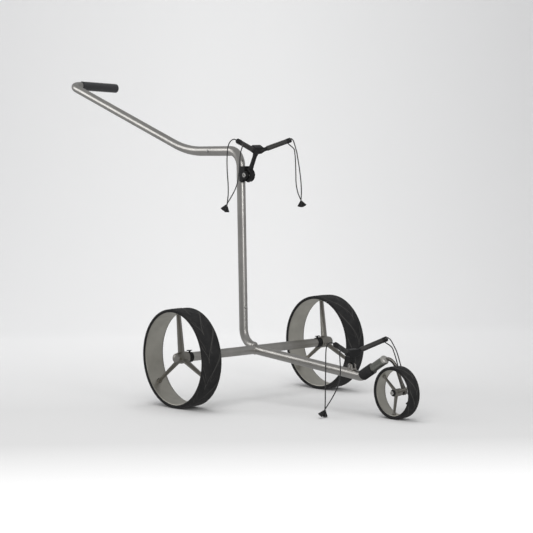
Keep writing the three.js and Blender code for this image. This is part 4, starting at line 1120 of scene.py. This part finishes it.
def yoke_mesh(name, facing, yoke, root, eye):
    """The cross piece of a cradle: a ribbed block with a neck towards each arm."""
    flat = eased([(23, 6), (15, 11), (-15, 11), (-23, 6), (-23, -5), (-14, -11), (14, -11), (23, -5)], 2.2,
                 closed=True, steps=4)
    depths = ((-9.5, 0.93), (-9.0, 0.97), (-7.8, 1.0), (7.8, 1.0), (9.0, 0.97), (9.5, 0.93))
    rings = [[Vector((u * k, w, v * k)) for u, v in flat] for w, k in depths]
    parts = [moved(loft(rings), Matrix.Translation(yoke) @ facing)]
    for side in (-1, 1):
        toward = (Vector((side * eye.x, eye.y, eye.z)) - root).normalized()
        neck = lathe(eased([(8, 0), (8, 7), (20, 7, 2), (25, 6.2, 1), (31.7, 5.4, 0.6), (31.7, 0)], 1), 56)
        parts.append(moved(neck, aimed(root, toward)))
        ring = eased([(28.6, 4.6), (28.6, 6.4), (30.4, 6.4), (30.4, 4.6)], 0.4, closed=True)
        parts.append(moved(lathe(ring, 56, closed=True), aimed(root, toward)))
    return melt(mesh_piece(name, *merged(*parts), black), black, 0.8, 2)


def arm_meshes(cradle, side_name, side, root, eye):
    """An arm of grey plastic and its black tip with the cord's eye."""
    tip = Vector((side * eye.x, eye.y, eye.z))
    toward = (tip - root).normalized()
    length = (tip - root).length + 7
    level = (Vector((-toward.y, toward.x, 0)) * side).normalized()
    tilt = EYE_TILT[side_name]
    through = level * math.cos(tilt) + Z_AXIS * math.sin(tilt)
    place = aimed(root, toward)
    outline = [(32, 0), (32, 5.8, 0.6), (34.5, 7.5, 1.2), (length - 16.3, 7.3, 0.3), (length - 16.3, 0)]
    fitted(f"{cradle}_{side_name}_arm_bar", lathe(eased(outline, 0.5), 96), place, arm_grey,
           f"{cradle}_cradle", f"{cradle}_{side_name}_arm", slot="arm_plastic", sharp=50)
    outline = [(length - 16.1, 0), (length - 16.1, 7.1), (length - 15.4, 7.8), (length - 12.8, 7.8, 0.4),
               (length - 12.4, 7.4, 0.3), (length - 11.6, 7.4, 0.3), (length - 11.2, 7.8, 0.4),
               (length - 2.2, 7.6, 1.2), (length, 5.8, 0.8), (length, 0)]
    cap = mesh_piece(f"{cradle}_{side_name}_arm_tip", *moved(lathe(eased(outline, 0.5), 72), place), black,
                     sharp=50)
    combine(cap, black, "DIFFERENCE", cutter(tip - through * 15, through, 2.4, 30, 40))
    ride(cap, f"{cradle}_cradle", slot="black_plastic")


def add_cradle(cradle, pivot, yoke, root, eye, bar):
    body = f"{cradle}_cradle"
    facing = cradle_facing(pivot, yoke)
    ride(bar(facing), body, f"{cradle}_strut", slot="black_plastic")
    ride(yoke_mesh(f"{cradle}_yoke_block", facing, yoke, root, eye), body, f"{cradle}_yoke",
         slot="black_plastic")
    for side_name, side in (("left", 1), ("right", -1)):
        arm_meshes(cradle, side_name, side, root, eye)


def upper_bar(facing):
    rise = (at(0, -23, 746) - PIVOT).length - 11.3
    disc = [(-8.1, 19.3, 0.6), (-7.2, 20.5, 0.5), (-2.2, 20.5, 0.4), (-1.6, 19.7, 0.3), (1.6, 19.7, 0.3),
            (2.2, 20.5, 0.4), (7.2, 20.5, 0.5), (8.1, 19.3, 0.6)]
    strut = mesh_piece("upper_strut_bar", *moved(sleeve(disc, 4.5, sides=96), Matrix.Translation(PIVOT)),
                       black)
    bar = bar_between(facing, PIVOT, [(12, 5.4, 6), (24, 5.2, 5.8), (34, 4.8, 5.3), (rise - 12, 4.8, 5.2),
                                      (rise - 5, 5.6, 6.2), (rise, 6.6, 7.2)], 1.6)
    combine(strut, black, "UNION", mesh_piece("bar", *bar, black))
    dome = [(2.2 - 1.5 * (1 - math.cos(a * math.pi / 16)), 2.7 * math.sin(a * math.pi / 16))
            for a in range(9)]
    outline = [(x + 6.9, r) for x, r in [(0.2, 0), (0.2, 2.7), *dome[::-1]]]
    rivet_at = Matrix.Translation(PIVOT + Vector((0, -12, -1))) @ mirrored(-1)
    fitted("cradle_rivet", lathe(outline, 32), rivet_at, ribbed, "upper_cradle", slot="bright_steel",
           sharp=60)
    return strut


LOWER_PIVOT = at(0, -426, 132)
LOWER_YOKE = at(0, -430, 169)


def lower_bar(facing):
    rise = (LOWER_YOKE - LOWER_PIVOT).length - 11.3
    tongue = bar_between(facing, LOWER_PIVOT, [(2, 3.6, 5.2), (12, 3.6, 5.2)], 0.8)
    bar = bar_between(facing, LOWER_PIVOT, [(9.5, 6.2, 5.7), (10.5, 6.5, 6), (rise - 5, 6.5, 6),
                                            (rise, 8, 7.4)], 1.6)
    foot = sleeve([(-3.6, 5.5, 0.3), (-3.3, 5.8, 0.3), (3.3, 5.8, 0.3), (3.6, 5.5, 0.3)], 3.5, sides=48)
    foot = moved(foot, Matrix.Translation(LOWER_PIVOT))
    strut = mesh_piece("lower_strut_bar", *foot, black)
    combine(strut, black, "UNION", mesh_piece("tongue", *tongue, black), mesh_piece("bar", *bar, black))
    return combine(strut, black, "DIFFERENCE", cutter(LOWER_PIVOT - X_AXIS * 20, X_AXIS, 3.5, 40, 40))


def add_lug():
    y, z = LOWER_PIVOT.y, LOWER_PIVOT.z
    outline = [(y - 13, z - 18), *arc((y, z), 7.5, math.pi, 0, 24), (y + 13, z - 18)]
    lug = mesh_piece("cradle_weld_lug", *slab(outline, -9, 9, 0.7), lug_metal)
    slot_room = mesh_piece("slot_room", *block((-4, 4), (y - 30, y + 30), (z - 6.6, z + 30), 0.4), lug_metal)
    combine(lug, lug_metal, "DIFFERENCE", cutter(MAIN_START, MAIN_AXIS, 14.05, 460, 96), slot_room,
            cutter(LOWER_PIVOT - X_AXIS * 20, X_AXIS, 3.5, 40, 40))
    ride(lug, "frame", "cradle_lug", slot="satin_steel")
    for side in (-1, 1):
        run = [Vector((side * 9.6, y - 13 + 26 * k / 20, 0)) for k in range(21)]
        for p in run:
            centre = MAIN_START + MAIN_AXIS * ((p.y - MAIN_START.y) / MAIN_AXIS.y)
            p.z = centre.z + math.sqrt(MAIN_TUBE[0] ** 2 - 9.6 ** 2)
        bead = weld_mesh(f"lug_weld_{'left' if side > 0 else 'right'}", run, 1.1, closed=False)
        ride(bead, "frame", slot="satin_steel")
    outline = [(-13, 0), (-13, 4.6), (-12.2, 5.4), (-9.3, 5.4), (-9.3, 3), (9.3, 3), (9.3, 5.2),
               (12.6, 4.8), (12.6, 0)]
    socket_bolt("lug_socket_bolt", outline, 2.4, 2.4, LOWER_PIVOT, "frame", "lug_bolt")


# ---- Handle -----------------------------------------------------------------------------------------

def add_handle():
    corner, grip_end = at(0, 955.5, 968), at(193, 955.5, 957)
    toward = (grip_end - corner).normalized()
    length = (grip_end - corner).length
    line = bent([at(0, 182.3, 742), at(0, 313.5, 742), corner, corner + toward * (length - 15)],
                [(420, 20), (46, 26)])
    swollen = ramp(JOINT_SWELL, 1, 20)
    swollen += [1] * (len(line) - len(swollen))
    tube = mesh_piece("handle_bent_tube", *pipe(line, 12.9, 11, sides=64, factors=swollen), alloy)
    spigot = sleeve([(130, 12, 1.2), (183, 12.08, 0.3), (184, 13.68, 0.3), (190, 13.68, 0.3)], 10.03,
                    sides=64)
    combine(tube, alloy, "UNION", mesh_piece("spigot", *moved(spigot, aimed(at(0, 0, 742), Y_AXIS)), alloy))
    combine(tube, alloy, "DIFFERENCE", cutter(at(0, 196, 742), -X_AXIS, 4.9, 30, 48))
    ride(tube, "handle", "handle_tube", slot="satin_alloy")
    snap_button("handle_snap_button", at(0, 196, 742), -X_AXIS, 17.2, "handle_snap", "handle_button")

    outline = [(46.3, 13.3, 0.3), (46.3, 14.4, 0.4), (47.2, 15.2, 0.6), (length - 4.6, 15.2, 3),
               (length - 1.2, 13.6, 2),
               (length, 9.6, 2), (length, 0, 0), (length - 12, 0, 0), (length - 12, 13.3, 0.2)]
    grip = fitted("foam_grip", lathe(eased(outline, 0.6, steps=6), 96, closed=True), aimed(corner, toward),
                  grip_black, "handle", "grip", slot="grip_foam", sharp=50)


add_frame()
add_fork()
add_upright()
add_cradle("upper", PIVOT, at(0, -23, 746), at(0, -23, 738), at(97.6, -56.5, 770.7), upper_bar)
add_cradle("lower", LOWER_PIVOT, LOWER_YOKE, at(0, -420, 164), at(94.7, -465.2, 202.1), lower_bar)
add_lug()
add_handle()


# ---- Studio -----------------------------------------------------------------------------------------

def studio_finish():
    """Matt pale paper with painted light and shade: darker towards both sides, a greyer band of painted shade
    on the floor in front of the cart, and paler again nearest the camera.
    """
    made = Finish("studio_paper", Roughness=0.9)
    made.shader.inputs["Specular IOR Level"].default_value = 0.1
    split = made.node("ShaderNodeSeparateXYZ")
    made.wire(made.stretched((1, 1, 1)), split.inputs["Vector"])
    nearness = made.maths("MULTIPLY", split.outputs["X"], -0.643)
    nearness = made.maths("ADD", nearness, made.maths("MULTIPLY", split.outputs["Y"], -0.766))
    sideways = made.maths("MULTIPLY", split.outputs["X"], 0.766)
    sideways = made.maths("ADD", sideways, made.maths("MULTIPLY", split.outputs["Y"], -0.643))
    sideways = made.maths("ABSOLUTE", sideways)
    # Painted shade darkens the paper towards both sides and on the floor around and in front of the cart.
    # Painted light pales it again nearer the camera.
    wall = made.mixed(made.ranged(sideways, 0.2, 1.5, 0, 1), (0.95, 0.95, 0.952), (0.84, 0.84, 0.845))
    floor = made.mixed(made.ranged(nearness, -1.6, 0.3, 0, 1), wall, (0.66, 0.66, 0.662))
    made.colour(made.mixed(made.ranged(nearness, 0.9, 1.6, 0, 1), floor, (0.93, 0.93, 0.935)))
    return made.material


def add_backdrop():
    """One sweep of paper: flat floor, a wide curve and a wall, facing the camera."""
    facing = Matrix.Rotation(AZIMUTH, 4, "Z")
    half_width, front, wall, curve, height = 9000, -7500, 3600, 1800, 6000
    profile = [(front + (wall - curve - front) * k / 12, 0.0) for k in range(13)]
    profile += [(wall - curve + curve * math.sin(a), curve * (1 - math.cos(a)))
                for a in (math.pi / 2 * k / 24 for k in range(1, 25))]
    profile += [(wall, curve + (height - curve) * k / 6) for k in range(1, 7)]
    columns = 13
    verts = [facing @ Vector((half_width * (2 * c / (columns - 1) - 1), y, z - 0.4))
             for y, z in profile for c in range(columns)]
    faces = [[r * columns + c, r * columns + c + 1, (r + 1) * columns + c + 1, (r + 1) * columns + c]
             for r in range(len(profile) - 1) for c in range(columns - 1)]
    paper = mesh_piece("studio_sweep", verts, faces, studio_finish(), sharp=60, recalculate=False)
    paper.visible_glossy = False


def add_light(name, place, aim, size, power, mirrored_in_metal=True, colour=(1, 1, 1)):
    """A softbox that the camera doesn't see, and that shows in shiny pieces only if asked to."""
    light = bpy.data.lights.new(name, "AREA")
    light.shape, light.size, light.size_y = "RECTANGLE", *size
    light.energy, light.color = power, colour
    obj = bpy.data.objects.new(name, light)
    scene.collection.objects.link(obj)
    obj.location = place
    obj.rotation_mode = "QUATERNION"
    obj.rotation_quaternion = (Vector(aim) - Vector(place)).to_track_quat("-Z", "Y")
    obj.visible_camera = False
    obj.visible_glossy = mirrored_in_metal


def add_lights():
    world = bpy.data.worlds.new("studio_air")
    scene.world = world
    world.use_nodes = True
    world.node_tree.nodes["Background"].inputs["Color"].default_value = (0.86, 0.87, 0.88, 1)
    world.node_tree.nodes["Background"].inputs["Strength"].default_value = 0.42
    add_light("key_softbox", (-2.4, -2.2, 3.0), (0, 0, 0.3), (2.6, 2.6), 66, False, (1.0, 0.985, 0.96))
    add_light("side_softbox", (-0.5, -3.8, 1.2), (0, 0, 0.5), (0.8, 2.0), 26)
    add_light("top_softbox", (0.1, 0.2, 3.6), (0, 0, 0), (2.4, 2.4), 60, False)
    add_light("left_softbox", (-2.3, 2.9, 2.2), (0, 0.4, 0.7), (2.1, 1.9), 22)


scene.view_settings.view_transform = "Standard"
add_backdrop()
add_lights()
